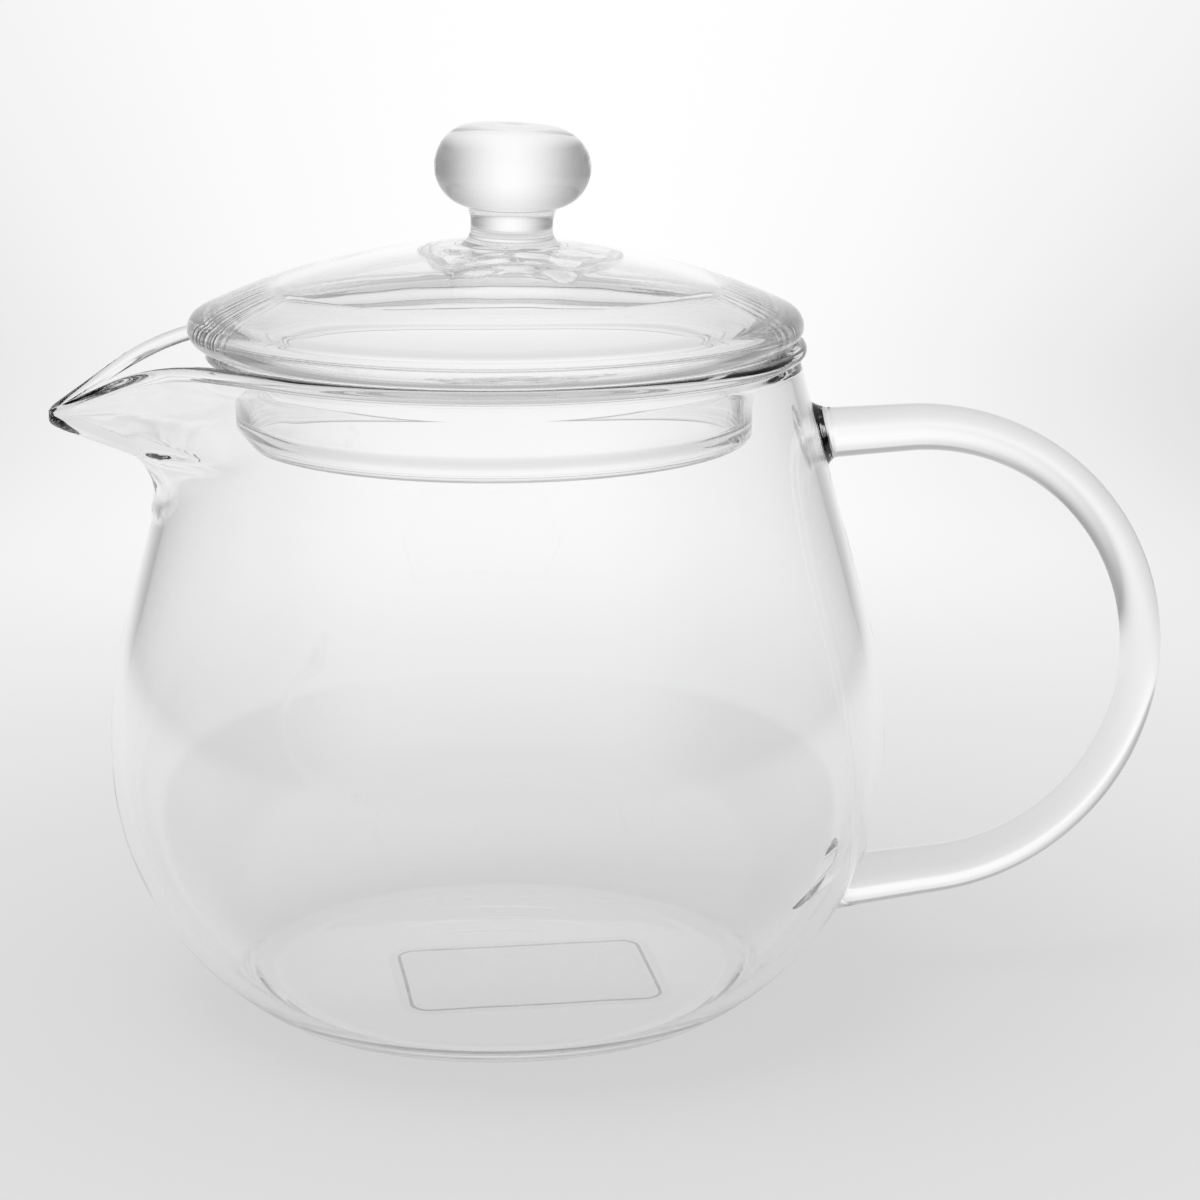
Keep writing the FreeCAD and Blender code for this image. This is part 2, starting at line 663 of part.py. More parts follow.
upper_place = (UPPER_ROOT_X, UPPER_ROOT)
lower_place = (LOWER_ROOT_X, "lower_root")
pot_form = make_pot_form()
pieces = [
    make_pot_body(pot_form),
    make_weld("handle_upper_weld", pot_form, upper_place, UPPER_LEAD, "rod_upper", "upper_weld_length"),
    make_weld("handle_lower_weld", pot_form, lower_place, LOWER_LEAD, "rod_lower", "lower_weld_length"),
    make_handle(upper_place, lower_place),
    make_lid(),
    make_knob(),
    make_knob_weld(),
    make_film(),
]
doc.recompute()
check_document()
os.makedirs("parts", exist_ok=True)
for piece in pieces:
    check_piece(piece)
for piece in pieces:
    piece.Shape.exportStep(f"parts/{piece.Label}.step")
    box = piece.Shape.BoundBox
    print(f"{piece.Label}: {piece.Shape.Volume:.1f} mm3, x {box.XMin:.2f} to {box.XMax:.2f},"
          f" z {box.ZMin:.2f} to {box.ZMax:.2f}")
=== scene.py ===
"""Looks of a clear glass teapot: blown body with a pinched beak, rod handle, hollow lid and solid knob.

The pieces that were melted together in the flame share their seam faces. Such a face has a clear seam
finish, so that light passes from one piece into the next as it does in one mass of glass.
"""
import math

import bmesh
import bpy
from bpy.props import FloatProperty, FloatVectorProperty, IntProperty, PointerProperty
from bpy.types import Operator, Panel, PropertyGroup
from mathutils import Matrix, Vector, noise


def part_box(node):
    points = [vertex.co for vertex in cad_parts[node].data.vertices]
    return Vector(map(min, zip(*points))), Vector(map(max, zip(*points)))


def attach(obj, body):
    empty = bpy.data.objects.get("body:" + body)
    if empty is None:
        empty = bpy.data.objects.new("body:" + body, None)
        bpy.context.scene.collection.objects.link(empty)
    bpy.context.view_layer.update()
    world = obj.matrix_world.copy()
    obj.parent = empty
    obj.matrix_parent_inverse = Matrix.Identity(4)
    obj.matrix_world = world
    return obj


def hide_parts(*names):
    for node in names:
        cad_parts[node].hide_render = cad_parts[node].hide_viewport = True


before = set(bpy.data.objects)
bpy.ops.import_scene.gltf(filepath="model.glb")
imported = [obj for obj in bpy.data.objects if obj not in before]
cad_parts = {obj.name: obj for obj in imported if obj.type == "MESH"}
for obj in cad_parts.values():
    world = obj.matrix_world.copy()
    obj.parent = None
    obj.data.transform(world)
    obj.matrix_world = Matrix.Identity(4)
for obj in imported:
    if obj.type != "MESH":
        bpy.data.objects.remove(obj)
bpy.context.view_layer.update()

from types import SimpleNamespace

bl_info = {
    "name": "Clear Glass Teapot",
    "version": (1, 0, 0),
    "blender": (4, 5, 0),
    "location": "View3D > Sidebar > Teapot",
    "description": "Builds a clear glass teapot around its packed frame",
    "category": "Add Mesh",
}

MM = 0.001
POT_LOW, POT_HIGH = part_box("pot_body")
LID_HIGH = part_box("lid_shell")[1]
GLASS_SLOT = "clear_glass"
FILM_SLOT = "clear_film"
OPEN, SEAM, TOOLED = 0, 1, 2
BORDER = 1
# Bearings from the beak: where it has ended, where the bead is full and where the underside is softest
BEAK_SWEEP = math.radians(70)
BEAD_SWEEP = math.radians(16)
EDGE_SWEEP = math.radians(12)
TURN_PARTS = 8


def length(name, description, millimetres):
    """A size that a user may change, in Blender's length unit."""
    return FloatProperty(name=name, description=description, default=millimetres * MM, unit="LENGTH",
                         precision=5)


def angle(name, description, degrees):
    """An angle that a user may change."""
    return FloatProperty(name=name, description=description, default=math.radians(degrees), subtype="ANGLE")


def share(name, description, number):
    """A plain level or share that a user may change."""
    return FloatProperty(name=name, description=description, default=number, subtype="FACTOR")


def colour(name, description, rgb):
    """A colour that a user may change."""
    return FloatVectorProperty(name=name, description=description, default=rgb, subtype="COLOR")


class PotSizes(PropertyGroup):
    """Sizes of the blown body and its beak."""

    belly_radius: length("Belly radius", "Half the width of the belly", POT_HIGH.y / MM)
    belly_height: length("Belly height", "Height of the widest place", 34.5)
    base_radius: length("Base radius", "Where the heel's round starts on the foot", 30.4)
    heel_round: length("Heel round", "Round between foot and belly", 8.0)
    upper_curve: length("Upper curve", "Curve of the wall above the belly", 68.0)
    shoulder_slope: angle("Shoulder slope", "Lean of the straight shoulder", 15.5)
    rim_height: length("Rim height", "Height of the rim", POT_HIGH.z / MM)
    rim_band: length("Rim band", "Height of the flared stretch below the rim", 3.5)
    rim_flare: length("Rim flare", "How far the rim stands out", 0.6)
    rim_wall: length("Rim wall", "Thickness of the rim", 2.1)
    rim_round: length("Rim round", "Round of the rim's inner edge", 0.8)
    rim_bead: length("Rim bead", "Round of the bead along the rim's outer edge", 0.95)
    wall: length("Wall", "Thickness of the wall", 1.8)
    floor_thickness: length("Floor thickness", "Thickness of the floor in its middle", 2.5)
    floor_round: length("Floor round", "Round between floor and wall inside", 7.0)
    foot_recess: length("Foot recess", "Depth of the dish under the floor", 0.6)
    spout_reach: length("Spout reach", "From the axis to the tip of the beak", -POT_LOW.x / MM)
    spout_depth: length("Spout depth", "From the rim down to the root of the beak", 19.5)
    spout_start: length("Spout start", "How far the beak stands out at its root", 0.5)
    spout_blend: length("Spout blend", "Height over which the root fades into the wall", 4.5)
    spout_throat: length("Spout throat", "Round under the beak", 6.2)
    spout_slope: angle("Spout slope", "Rise of the beak's underside", 18.0)
    spout_tip: length("Spout tip", "Radius of the beak's tip in plan", 2.6)
    spout_edge: length("Spout edge", "Softness of the edge under the beak's tip", 0.6)
    spout_soft: length("Spout softness", "Softness of the edge between its underside and sides", 3.0)
    spout_keel: length("Spout keel", "Radius of the beak's root in plan", 30.0)
    spout_wall: length("Spout wall", "Thickness of the beak's wall at its tip", 1.3)
    spout_lip: length("Spout lip", "Depth of the beak's edge at its tip", 1.3)
    lip_start: length("Lip start", "Where the rim starts to fall, past the rim's own radius", 1.6)
    lip_blend: length("Lip blend", "Round where the rim starts to fall", 24.0)


class HandleSizes(PropertyGroup):
    """Sizes of the rod handle and the beads that join it to the wall."""

    root_drop: length("Root drop", "From the rim down to the upper root", 13.4)
    lower_root: length("Lower root", "Height of the lower root", 13.2)
    bow_set: length("Bow set", "From the belly out to the bow's centre", 4.7)
    bow_rise: length("Bow rise", "How far the bow's centre lies above the middle of the roots", 1.1)
    bow_ease: length("Bow ease", "How much the bow is less than half the distance of the roots", 0.4)
    rod_upper: length("Upper rod", "Rod diameter at the upper root", 6.8)
    rod_middle: length("Middle rod", "Rod diameter in the middle of the bow", 5.6)
    rod_lower: length("Lower rod", "Rod diameter at the lower root", 7.3)
    weld_flare: length("Weld flare", "How far a bead is wider than the rod", 1.1)
    upper_weld: length("Upper weld", "Length of the upper bead", 2.4)
    lower_weld: length("Lower weld", "Length of the lower bead", 3.4)


class LidSizes(PropertyGroup):
    """Sizes of the hollow lid, its knob and the knob's collar."""

    edge_radius: length("Edge radius", "Half the width of the lid", LID_HIGH.y / MM)
    edge_tube: length("Edge tube", "Radius of the rolled edge", 2.1)
    dome: length("Dome", "Radius of the spherical dome", 93.0)
    wall: length("Wall", "Thickness of the lid", 1.8)
    plug_clearance: length("Plug clearance", "Gap between plug and mouth", 0.6)
    plug_land: length("Plug land", "Straight stretch of the plug", 1.6)
    plug_sweep: length("Plug sweep", "Wide round between dome and plug inside", 22.0)
    plug_round: length("Plug round", "Close round that ends it", 4.0)
    sweep_start: angle("Sweep start", "Where the wide round starts on the dome", 18.0)
    skirt_step: length("Skirt step", "From the plug in to the skirt", 4.5)
    skirt_flare: length("Skirt flare", "Round between skirt and plug", 9.0)
    skirt_depth: length("Skirt depth", "From the rim down to the skirt's end", 13.0)
    skirt_bead: length("Skirt bead", "Round of the bead along the skirt's end", 1.2)
    tooled_radius: length("Tooled radius", "Where the tool marks inside the lid start", 29.0)
    tooled_drop: length("Tooled drop", "How far below the rim they end", 0.6)
    melt_drop: length("Melt drop", "How far melted glass hangs under the knob", 1.8)
    melt_reach: length("Melt reach", "How far melted glass spreads under the knob", 13.5)
    knob_radius: length("Knob radius", "Half the width of the knob", 10.35)
    knob_side: length("Knob side", "Round of the knob's side", 5.4)
    knob_lift: length("Knob lift", "From the dome up to the knob's ball", 4.6)
    knob_crown: length("Knob crown", "Rise of the knob's top", 0.3)
    knob_dimple: length("Knob dimple", "Depth of the dimple in the knob's top", 0.3)
    knob_tilt: angle("Knob tilt", "Lean of the knob's flat top", 1.5)
    knob_shift: length("Knob shift", "How far the knob stands off the lid's middle", 2.1)
    stem_radius: length("Stem radius", "Radius of the knob's stem", 5.45)
    stem_land: length("Stem land", "Straight stretch of the stem", 2.8)
    stem_flare: length("Stem flare", "How far the stem opens under the ball", 0.6)
    collar_width: length("Collar width", "How far the collar reaches out on the dome", 2.1)
    collar_height: length("Collar height", "How far the collar climbs the stem", 2.0)


class FilmSizes(PropertyGroup):
    """Sizes of the blank clear film on the underside."""

    film_length: length("Length", "Length of the film", 37.0)
    film_width: length("Width", "Width of the film", 26.5)
    thickness: length("Thickness", "Thickness of the film", 0.08)
    corner: length("Corner", "Round of the film's corners", 4.0)
    margin: length("Margin", "From the film's edge to its border line", 1.3)
    line: length("Line", "Width of the border line", 0.45)
    shift: length("Shift", "How far the film lies off the middle towards the handle", 3.5)
    set_back: length("Set back", "How far the film lies off the middle sideways", -5.0)
    turn: angle("Turn", "How far the film lies turned", 4.0)
    bond: length("Bond", "Gap between film and glass", 0.02)


class GlassLook(PropertyGroup):
    """Finish of the glass."""

    tint: colour("Tint", "Colour of the clear glass", (1.0, 1.0, 1.0))
    streak: colour("Streak tint", "Colour of the faint streaks in the glass", (0.993, 0.996, 0.996))
    index: FloatProperty(name="Index", description="Refractive index of heat-proof glass", default=1.473)
    wave: length("Wave", "Height of the slow waves of blown glass", 0.03)
    comb: length("Comb", "Height of the fine tool marks inside the lid", 0.45)
    pot_steps: IntProperty(name="Pot steps", description="Sides of the turned body", default=320)
    lid_steps: IntProperty(name="Lid steps", description="Sides of the turned lid", default=400)
    knob_steps: IntProperty(name="Knob steps", description="Sides of the turned knob", default=192)
    rod_steps: IntProperty(name="Rod steps", description="Sides of the handle's rod", default=64)


class StudioLook(PropertyGroup):
    """Levels of the pale table, with its painted light and shade, and the soft light around it."""

    # Painted shade: the table is shown at this grey near the pot and whitens towards the backdrop level
    # farther off, a painted falloff of light.
    near_painted_shade: share("Table level", "Level of the table near the pot", 0.71)
    far_level: share("Backdrop level", "Level of the bright backdrop", 1.0)
    wide_level: share("Wide level", "Level well to the side of the backdrop", 0.3)
    side_level: share("Side level", "Level of the room's two sides", 0.1)
    front_level: share("Front level", "Level of the room in front of the pot", 0.8)
    gap_level: share("Gap level", "Level of the dark gap above the backdrop", 0.45)
    top_level: share("Top level", "Level straight above", 0.5)
    dimming: share("Dimming", "How much the backdrop dims towards its top", 0.15)
    facing: angle("Facing", "Bearing of the backdrop behind the pot", 85.3)
    shadow_share: share("Shadow share", "How much of the table takes the pot's shadow", 0.15)
    lamp_power: FloatProperty(name="Lamp power", description="Power of the soft lamp", default=4.0,
                              unit="POWER")
    lens: FloatProperty(name="Lens", description="Focal length of the camera", default=104.79, unit="CAMERA")
    eye: FloatVectorProperty(name="Eye", description="Place of the camera", subtype="XYZ", unit="LENGTH",
                             default=(-24.1 * MM, -459.4 * MM, 163.3 * MM))
    aim: FloatVectorProperty(name="Aim", description="Point that the camera looks at", subtype="XYZ",
                             unit="LENGTH", default=(13.83 * MM, 0.0, 54.05 * MM))


# Node trees

class Value:
    """A shader socket that takes part in arithmetic."""

    def __init__(self, graph, socket):
        self.graph = graph
        self.socket = socket

    def other(self, output):
        """Another output of the same node."""
        return Value(self.graph, self.socket.node.outputs[output])

    def __add__(self, other):
        return self.graph.maths("ADD", self, other)

    __radd__ = __add__

    def __sub__(self, other):
        return self.graph.maths("SUBTRACT", self, other)

    def __rsub__(self, other):
        return self.graph.maths("SUBTRACT", other, self)

    def __mul__(self, other):
        return self.graph.maths("MULTIPLY", self, other)

    __rmul__ = __mul__

    def __pow__(self, other):
        return self.graph.maths("POWER", self, other)


class Graph:
    """The node tree of a material or of the world."""

    def __init__(self, owner):
        owner.use_nodes = True
        self.tree = owner.node_tree
        self.tree.nodes.clear()

    def node(self, kind, inputs, output=0, **settings):
        """Adds a node with its settings, then its values or links, and gives one of its outputs."""
        made = self.tree.nodes.new(kind)
        for name, setting in settings.items():
            setattr(made, name, setting)
        for key, given in inputs.items():
            if isinstance(given, Value):
                self.tree.links.new(given.socket, made.inputs[key])
            else:
                made.inputs[key].default_value = given
        return Value(self, made.outputs[output]) if len(made.outputs) else None

    def maths(self, operation, first, second=0.0):
        return self.node("ShaderNodeMath", {0: first, 1: second}, operation=operation)

    def smooth(self, number, start, end):
        """0 below start and 1 above end, with an easy curve between."""
        return self.node("ShaderNodeMapRange", {"Value": number, "From Min": start, "From Max": end},
                         interpolation_type="SMOOTHSTEP")

    def mix(self, factor, first, second):
        """A colour between two others."""
        return self.node("ShaderNodeMix", {0: factor, 6: first, 7: second}, output=2, data_type="RGBA")

    def grey(self, level):
        return self.node("ShaderNodeCombineColor", {0: level, 1: level, 2: level})


def clear_glass(tooled=False):
    """Fire-polished heat-proof glass: faint streaks, a hint of haze and the slow waves of blown work."""
    name = "tooled_glass_look" if tooled else GLASS_SLOT + "_look"
    if name in bpy.data.materials:
        return bpy.data.materials[name]
    look = bpy.context.scene.teapot_glass
    material = bpy.data.materials.new(name)
    graph = Graph(material)
    place = graph.node("ShaderNodeTexCoord", {}, output="Object")
    streak_place = graph.node("ShaderNodeMapping", {"Vector": place, "Scale": (120.0, 120.0, 420.0)})
    streaks = graph.node("ShaderNodeTexNoise", {"Vector": streak_place, "Scale": 1.0, "Detail": 3.0})
    haze = graph.node("ShaderNodeTexNoise", {"Vector": place, "Scale": 260.0, "Detail": 2.0})
    waves = graph.node("ShaderNodeTexNoise", {"Vector": place, "Scale": 95.0, "Detail": 1.0})
    relief = graph.node("ShaderNodeBump", {"Strength": 0.5, "Distance": look.wave, "Height": waves})
    if tooled:
        relief = graph.node("ShaderNodeBump", {"Distance": look.comb, "Height": tool_marks(graph, place),
                                               "Normal": relief})
    surface = graph.node("ShaderNodeBsdfPrincipled", {
        "Base Color": graph.mix(graph.smooth(streaks, 0.5, 0.75), (*look.tint, 1.0), (*look.streak, 1.0)),
        "Roughness": graph.smooth(haze, 0.55, 0.9) * 0.02,
        "IOR": look.index,
        "Transmission Weight": 1.0,
        "Normal": relief,
    })
    graph.node("ShaderNodeOutputMaterial", {"Surface": surface})
    return material


def tool_marks(graph, place):
    """Height of the fine radial marks left by the tool that opened the lid, at two places."""
    start = bpy.context.scene.teapot_lid.tooled_radius
    flat = graph.node("ShaderNodeVectorMath", {0: place, 1: (1.0, 1.0, 0.0)}, operation="MULTIPLY")
    across = graph.node("ShaderNodeVectorMath", {0: flat}, operation="NORMALIZE")
    radius = graph.node("ShaderNodeVectorMath", {0: flat}, output="Value", operation="LENGTH")
    way = graph.node("ShaderNodeSeparateXYZ", {0: across})
    ends = graph.smooth(graph.maths("ABSOLUTE", way), 0.5, 0.8)
    not_near = graph.smooth(way.other("Y"), -0.5, -0.2)
    band = graph.smooth(radius, start, start + 3 * MM) * (ends * not_near)
    wander = graph.node("ShaderNodeCombineXYZ", {2: radius * 2.5})
    combed = graph.node("ShaderNodeVectorMath", {0: across, 1: wander}, operation="ADD")
    return graph.node("ShaderNodeTexNoise", {"Vector": combed, "Scale": 34.0, "Detail": 2.0}) * band


def fused_seam():
    """The inside of a melted join, where nothing parts the glass."""
    name = "fused_seam_look"
    if name in bpy.data.materials:
        return bpy.data.materials[name]
    material = bpy.data.materials.new(name)
    graph = Graph(material)
    surface = graph.node("ShaderNodeBsdfPrincipled", {"Alpha": 0.0})
    graph.node("ShaderNodeOutputMaterial", {"Surface": surface})
    return material


def film_look(name, level, cover):
    """Thin clear film with a faint cloudiness. Cover is how much of the light it stops."""
    material = bpy.data.materials.new(name)
    graph = Graph(material)
    place = graph.node("ShaderNodeTexCoord", {}, output="Object")
    clouds = graph.node("ShaderNodeTexNoise", {"Vector": place, "Scale": 300.0, "Detail": 4.0})
    surface = graph.node("ShaderNodeBsdfPrincipled", {
        "Base Color": graph.grey(clouds * 0.06 + level),
        "Roughness": clouds * 0.2 + 0.2,
        "Alpha": graph.smooth(clouds, 0.3, 0.7) * (0.3 * cover) + 0.85 * cover,
    })
    graph.node("ShaderNodeOutputMaterial", {"Surface": surface})
    return material


# Outlines and turned shapes

class Outline:
    """A line that is drawn in the plane y = 0, and then turned about the Z axis."""

    def __init__(self, r, z, step):
        self.mesh = bmesh.new()
        self.tip = self.mesh.verts.new((r, 0.0, z))
        self.step = step

    def line(self, r, z, step=None):
        """Draws a straight stretch and gives its spots."""
        start, end = self.tip.co.copy(), Vector((r, 0.0, z))
        count = max(1, math.ceil((end - start).length / (step or self.step)))
        spots = []
        for number in range(1, count + 1):
            self.tip = bmesh.ops.extrude_vert_indiv(self.mesh, verts=[self.tip])["verts"][0]
            self.tip.co = start.lerp(end, number / count)
            spots.append(self.tip)
        return spots

    def arc(self, r, z, turn, radius, step=None):
        """Draws an arc of under half a turn, to the left for a turn of 1 and to the right for -1."""
        start, end = self.tip.co.copy(), Vector((r, 0.0, z))
        chord = end - start
        rise = math.sqrt(max(radius ** 2 - chord.length_squared / 4, 0.0))
        centre = (start + end) / 2 + Vector((-chord.z, 0.0, chord.x)).normalized() * rise * turn
        sweep = 2 * math.asin(min(1.0, chord.length / 2 / radius))
        count = max(2, math.ceil(sweep * radius / (step or self.step)))
        drawn = bmesh.ops.spin(self.mesh, geom=[self.tip], cent=centre, axis=(0, 1, 0), angle=-turn * sweep,
                               steps=count)
        self.tip = next(item for item in drawn["geom_last"] if isinstance(item, bmesh.types.BMVert))
        self.tip.co = end

    def close(self):
        """Joins the line's end to its start."""
        self.mesh.verts.ensure_lookup_table()
        self.mesh.edges.new((self.tip, self.mesh.verts[0]))

    def turned(self, steps):
        """Turns the line into a closed piece: an eighth of a turn, doubled three times."""
        mesh = self.mesh
        bmesh.ops.spin(mesh, geom=mesh.verts[:] + mesh.edges[:], cent=(0, 0, 0), axis=(0, 0, 1),
                       angle=math.tau / TURN_PARTS, steps=steps // TURN_PARTS)
        for part in (TURN_PARTS, TURN_PARTS // 2, TURN_PARTS // 4):
            copied = bmesh.ops.duplicate(mesh, geom=mesh.verts[:] + mesh.edges[:] + mesh.faces[:])["geom"]
            spots = [item for item in copied if isinstance(item, bmesh.types.BMVert)]
            turn = Matrix.Rotation(math.tau / part, 3, "Z")
            bmesh.ops.rotate(mesh, cent=(0, 0, 0), matrix=turn, verts=spots)
        bmesh.ops.remove_doubles(mesh, verts=mesh.verts, dist=0.002 * MM)
        bmesh.ops.recalc_face_normals(mesh, faces=mesh.faces)
        return mesh


def plain(group):
    """A group's sizes as plain numbers, which are quicker to read."""
    return SimpleNamespace(**{name: getattr(group, name) for name in group.__annotations__})


def ease(number, start, end):
    """0 below start and 1 above end, with an easy curve between."""
    part = min(1.0, max(0.0, (number - start) / (end - start)))
    return part * part * (3 - 2 * part)


def mark_seams(mesh, is_seam):
    """Gives the seam finish to the faces that touch other glass, with a crisp edge round them."""
    for face in mesh.faces:
        if is_seam(face.calc_center_median()):
            face.material_index = SEAM
    crisp_seams(mesh)


def crisp_seams(mesh):
    for edge in mesh.edges:
        edge.smooth = len({face.material_index for face in edge.link_faces}) < 2


def finish_piece(mesh, name, body, slot, materials, *nodes):
    """Makes a smooth object of a mesh, which rides on a body and stands for its nodes."""
    for face in mesh.faces:
        face.smooth = True
    data = bpy.data.meshes.new(name)
    mesh.to_mesh(data)
    mesh.free()
    for material in materials:
        data.materials.append(material)
    piece = bpy.data.objects.new(name, data)
    bpy.context.scene.collection.objects.link(piece)
    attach(piece, body)
    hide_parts(*nodes)
    return piece


def finish_glass(mesh, name, body, *nodes, tooled=False):
    """Makes a glass object of a mesh. A tooled one has the finish with tool marks as well."""
    looks = [clear_glass(), fused_seam()]
    if tooled:
        looks.append(clear_glass(tooled=True))
    return finish_piece(mesh, name, body, GLASS_SLOT, looks, *nodes)


# Body

class PotShape:
    """The pot's outside and inside, worked out from its sizes."""

    def __init__(self):
        self.sizes = size = plain(bpy.context.scene.teapot_pot)
        run = size.belly_radius - size.base_radius
        rise = size.belly_height
        self.lower_curve = (run ** 2 + rise ** 2 - 2 * rise * size.heel_round) / 2 / (run - size.heel_round)
        self.lower_centre = size.belly_radius - self.lower_curve
        self.upper_centre = size.belly_radius - size.upper_curve
        self.shoulder_radius = self.upper_centre + size.upper_curve * math.cos(size.shoulder_slope)
        self.shoulder_height = size.belly_height + size.upper_curve * math.sin(size.shoulder_slope)
        self.neck_height = size.rim_height - size.rim_band
        self.spout_root = size.rim_height - size.spout_depth
        self.join_height = self.spout_root - size.spout_blend
        self.rim_radius = self.cone(self.neck_height) + size.rim_flare
        self.mouth_radius = self.rim_radius - size.rim_wall
        self.lean_wall = size.wall / math.cos(size.shoulder_slope)
        self.tip_height = self.underside(0.0)[2]

    def cone(self, height):
        """Outside radius of the straight shoulder."""
        return self.shoulder_radius - (height - self.shoulder_height) * math.tan(self.sizes.shoulder_slope)

    def outer(self, height):
        """Outside radius of the round body, without the beak."""
        size = self.sizes
        if height < size.belly_height:
            return self.lower_centre + math.sqrt(self.lower_curve ** 2 - (size.belly_height - height) ** 2)
        if height < self.shoulder_height:
            return self.upper_centre + math.sqrt(size.upper_curve ** 2 - (height - size.belly_height) ** 2)
        return self.cone(height) + self.bulge(height)

    def bulge(self, height):
        """How far the bead along the rim stands out from the shoulder."""
        size = self.sizes
        off = abs(height - size.rim_height + size.rim_bead)
        if off > size.rim_bead + 0.001 * MM:
            return 0.0
        bead = self.rim_radius - size.rim_bead + math.sqrt(max(0.0, size.rim_bead ** 2 - off ** 2))
        return bead - self.cone(height)

    def inner(self, height):
        """Inside radius of the round body above the shoulder, without the beak."""
        size = self.sizes
        neck = self.cone(self.neck_height) - self.lean_wall
        opening = (self.mouth_radius - neck) * ease(height, self.neck_height, size.rim_height)
        return self.cone(min(height, self.neck_height)) - self.lean_wall + opening

    def dish(self, radius):
        """Height of the shallow dish under the floor."""
        return self.sizes.foot_recess * (1 - (radius / self.sizes.base_radius) ** 2)

    def underside(self, inset):
        """The beak's underside: centre and curve of its throat, end of the throat, and height at the tip."""
        size = self.sizes
        turn = math.pi / 2 - size.spout_slope
        curve = size.spout_throat + inset
        lean_throat = size.spout_throat / math.cos(size.shoulder_slope)
        centre = self.cone(self.spout_root) + size.spout_start + lean_throat
        throat = centre - curve * math.cos(turn)
        throat_height = self.spout_root + curve * math.sin(turn)
        run = size.spout_reach - inset - throat
        return (centre, curve), (throat, throat_height), throat_height + run * math.tan(size.spout_slope)

    def reach(self, height, inset, soft):
        """How far the beak reaches at a height, with a soft edge where its underside turns up."""
        size = self.sizes
        (centre, curve), (throat, throat_height), tip_height = self.underside(inset)
        if height > tip_height + soft:
            return size.spout_reach - inset
        if height > tip_height - soft:
            below = tip_height + soft - height
            return size.spout_reach - inset - below ** 2 / (4 * soft * math.tan(size.spout_slope))
        if height > throat_height:
            return throat + (height - throat_height) / math.tan(size.spout_slope)
        throat_foot = self.spout_root - curve * math.sin(size.shoulder_slope)
        if height > throat_foot:
            return centre - math.sqrt(curve ** 2 - (height - self.spout_root) ** 2)
        standing = size.spout_start * ease(height, self.join_height, throat_foot)
        return self.cone(height) - inset / math.cos(size.shoulder_slope) + standing

    def keel(self, height):
        """Radius of the beak's front in plan, small at the lip and wider towards the root."""
        size = self.sizes
        below = 1 - ease(height, self.spout_root, self.tip_height + size.spout_lip)
        return size.spout_tip + (size.spout_keel - size.spout_tip) * below

    def beak(self, bearing, height, radius, inset):
        """Distance from the axis to the wall, by the bearing from the beak: a round body and a small tip
        circle, joined by the two lines that touch both."""
        size = self.sizes
        bearing = abs(bearing)
        soft = size.spout_edge + (size.spout_soft - size.spout_edge) * ease(bearing, 0.0, EDGE_SWEEP)
        tip = self.keel(height) - inset
        centre = self.reach(height, inset, soft) - tip
        if centre <= radius - tip:
            return radius
        lean = math.acos((radius - tip) / centre)
        tip_bearing = math.atan2(tip * math.sin(lean), centre + tip * math.cos(lean))
        if bearing >= lean:
            return radius
        if bearing >= tip_bearing:
            return radius / math.cos(bearing - lean)
        return centre * math.cos(bearing) + math.sqrt(tip ** 2 - (centre * math.sin(bearing)) ** 2)

    def lip_height(self, reach):
        """Height of the rim's line along the beak: level, then a round, then straight down to the tip."""
        size = self.sizes
        corner = self.rim_radius + size.lip_start
        drop = size.rim_height - self.tip_height - size.spout_lip
        fall = math.atan2(drop, size.spout_reach - corner)
        past = reach - corner + size.lip_blend * math.tan(fall / 2)
        if past <= 0:
            return size.rim_height
        if past < size.lip_blend * math.sin(fall):
            return size.rim_height - size.lip_blend + math.sqrt(size.lip_blend ** 2 - past ** 2)
        return size.rim_height - (reach - corner) * math.tan(fall)

    def outline(self):
        """The wall's outline from the middle of the underside, round the rim, to the middle of the floor."""
        size = self.sizes
        step, fine, bead = 1.4 * MM, 0.5 * MM, 0.09 * MM
        heel_share = self.lower_curve / (self.lower_curve - size.heel_round)
        heel_run = (size.base_radius - self.lower_centre) * heel_share
        heel_drop = (size.belly_height - size.heel_round) * heel_share
        line = Outline(0.0, size.foot_recess, step)
        for spot in line.line(size.base_radius, 0.0, 1.5 * MM):
            spot.co.z = self.dish(spot.co.x)
        line.arc(self.lower_centre + heel_run, size.belly_height - heel_drop, 1, size.heel_round, fine)
        line.arc(size.belly_radius, size.belly_height, 1, self.lower_curve, 1.2 * MM)
        line.arc(self.shoulder_radius, self.shoulder_height, 1, size.upper_curve)
        line.line(self.cone(self.join_height), self.join_height)
        rim_start = size.rim_height - size.rim_round
        bead_centre, bead_height = self.rim_radius - size.rim_bead, size.rim_height - size.rim_bead
        bead_foot = bead_height - size.rim_bead
        line.line(self.cone(bead_foot - 2 * bead), bead_foot - 2 * bead, fine)
        line.line(bead_centre, bead_foot, bead)
        line.arc(self.rim_radius, bead_height, 1, size.rim_bead, bead)
        line.arc(bead_centre, size.rim_height, 1, size.rim_bead, bead)
        mouth = self.inner(rim_start)
        line.line(mouth + size.rim_round, size.rim_height, 0.25 * MM)
        line.arc(mouth, rim_start, 1, size.rim_round, bead)
        for spot in line.line(self.inner(self.join_height), self.join_height, fine):
            spot.co.x = self.inner(spot.co.z)
        inner_upper = size.upper_curve - size.wall
        inner_lower = self.lower_curve - size.wall
        floor_height = size.foot_recess + size.floor_thickness
        drop = size.belly_height - floor_height - size.floor_round
        run = math.sqrt((inner_lower - size.floor_round) ** 2 - drop ** 2)
        floor_share = inner_lower / (inner_lower - size.floor_round)
        line.line(self.upper_centre + inner_upper * math.cos(size.shoulder_slope),
                  size.belly_height + inner_upper * math.sin(size.shoulder_slope))
        line.arc(size.belly_radius - size.wall, size.belly_height, -1, inner_upper)
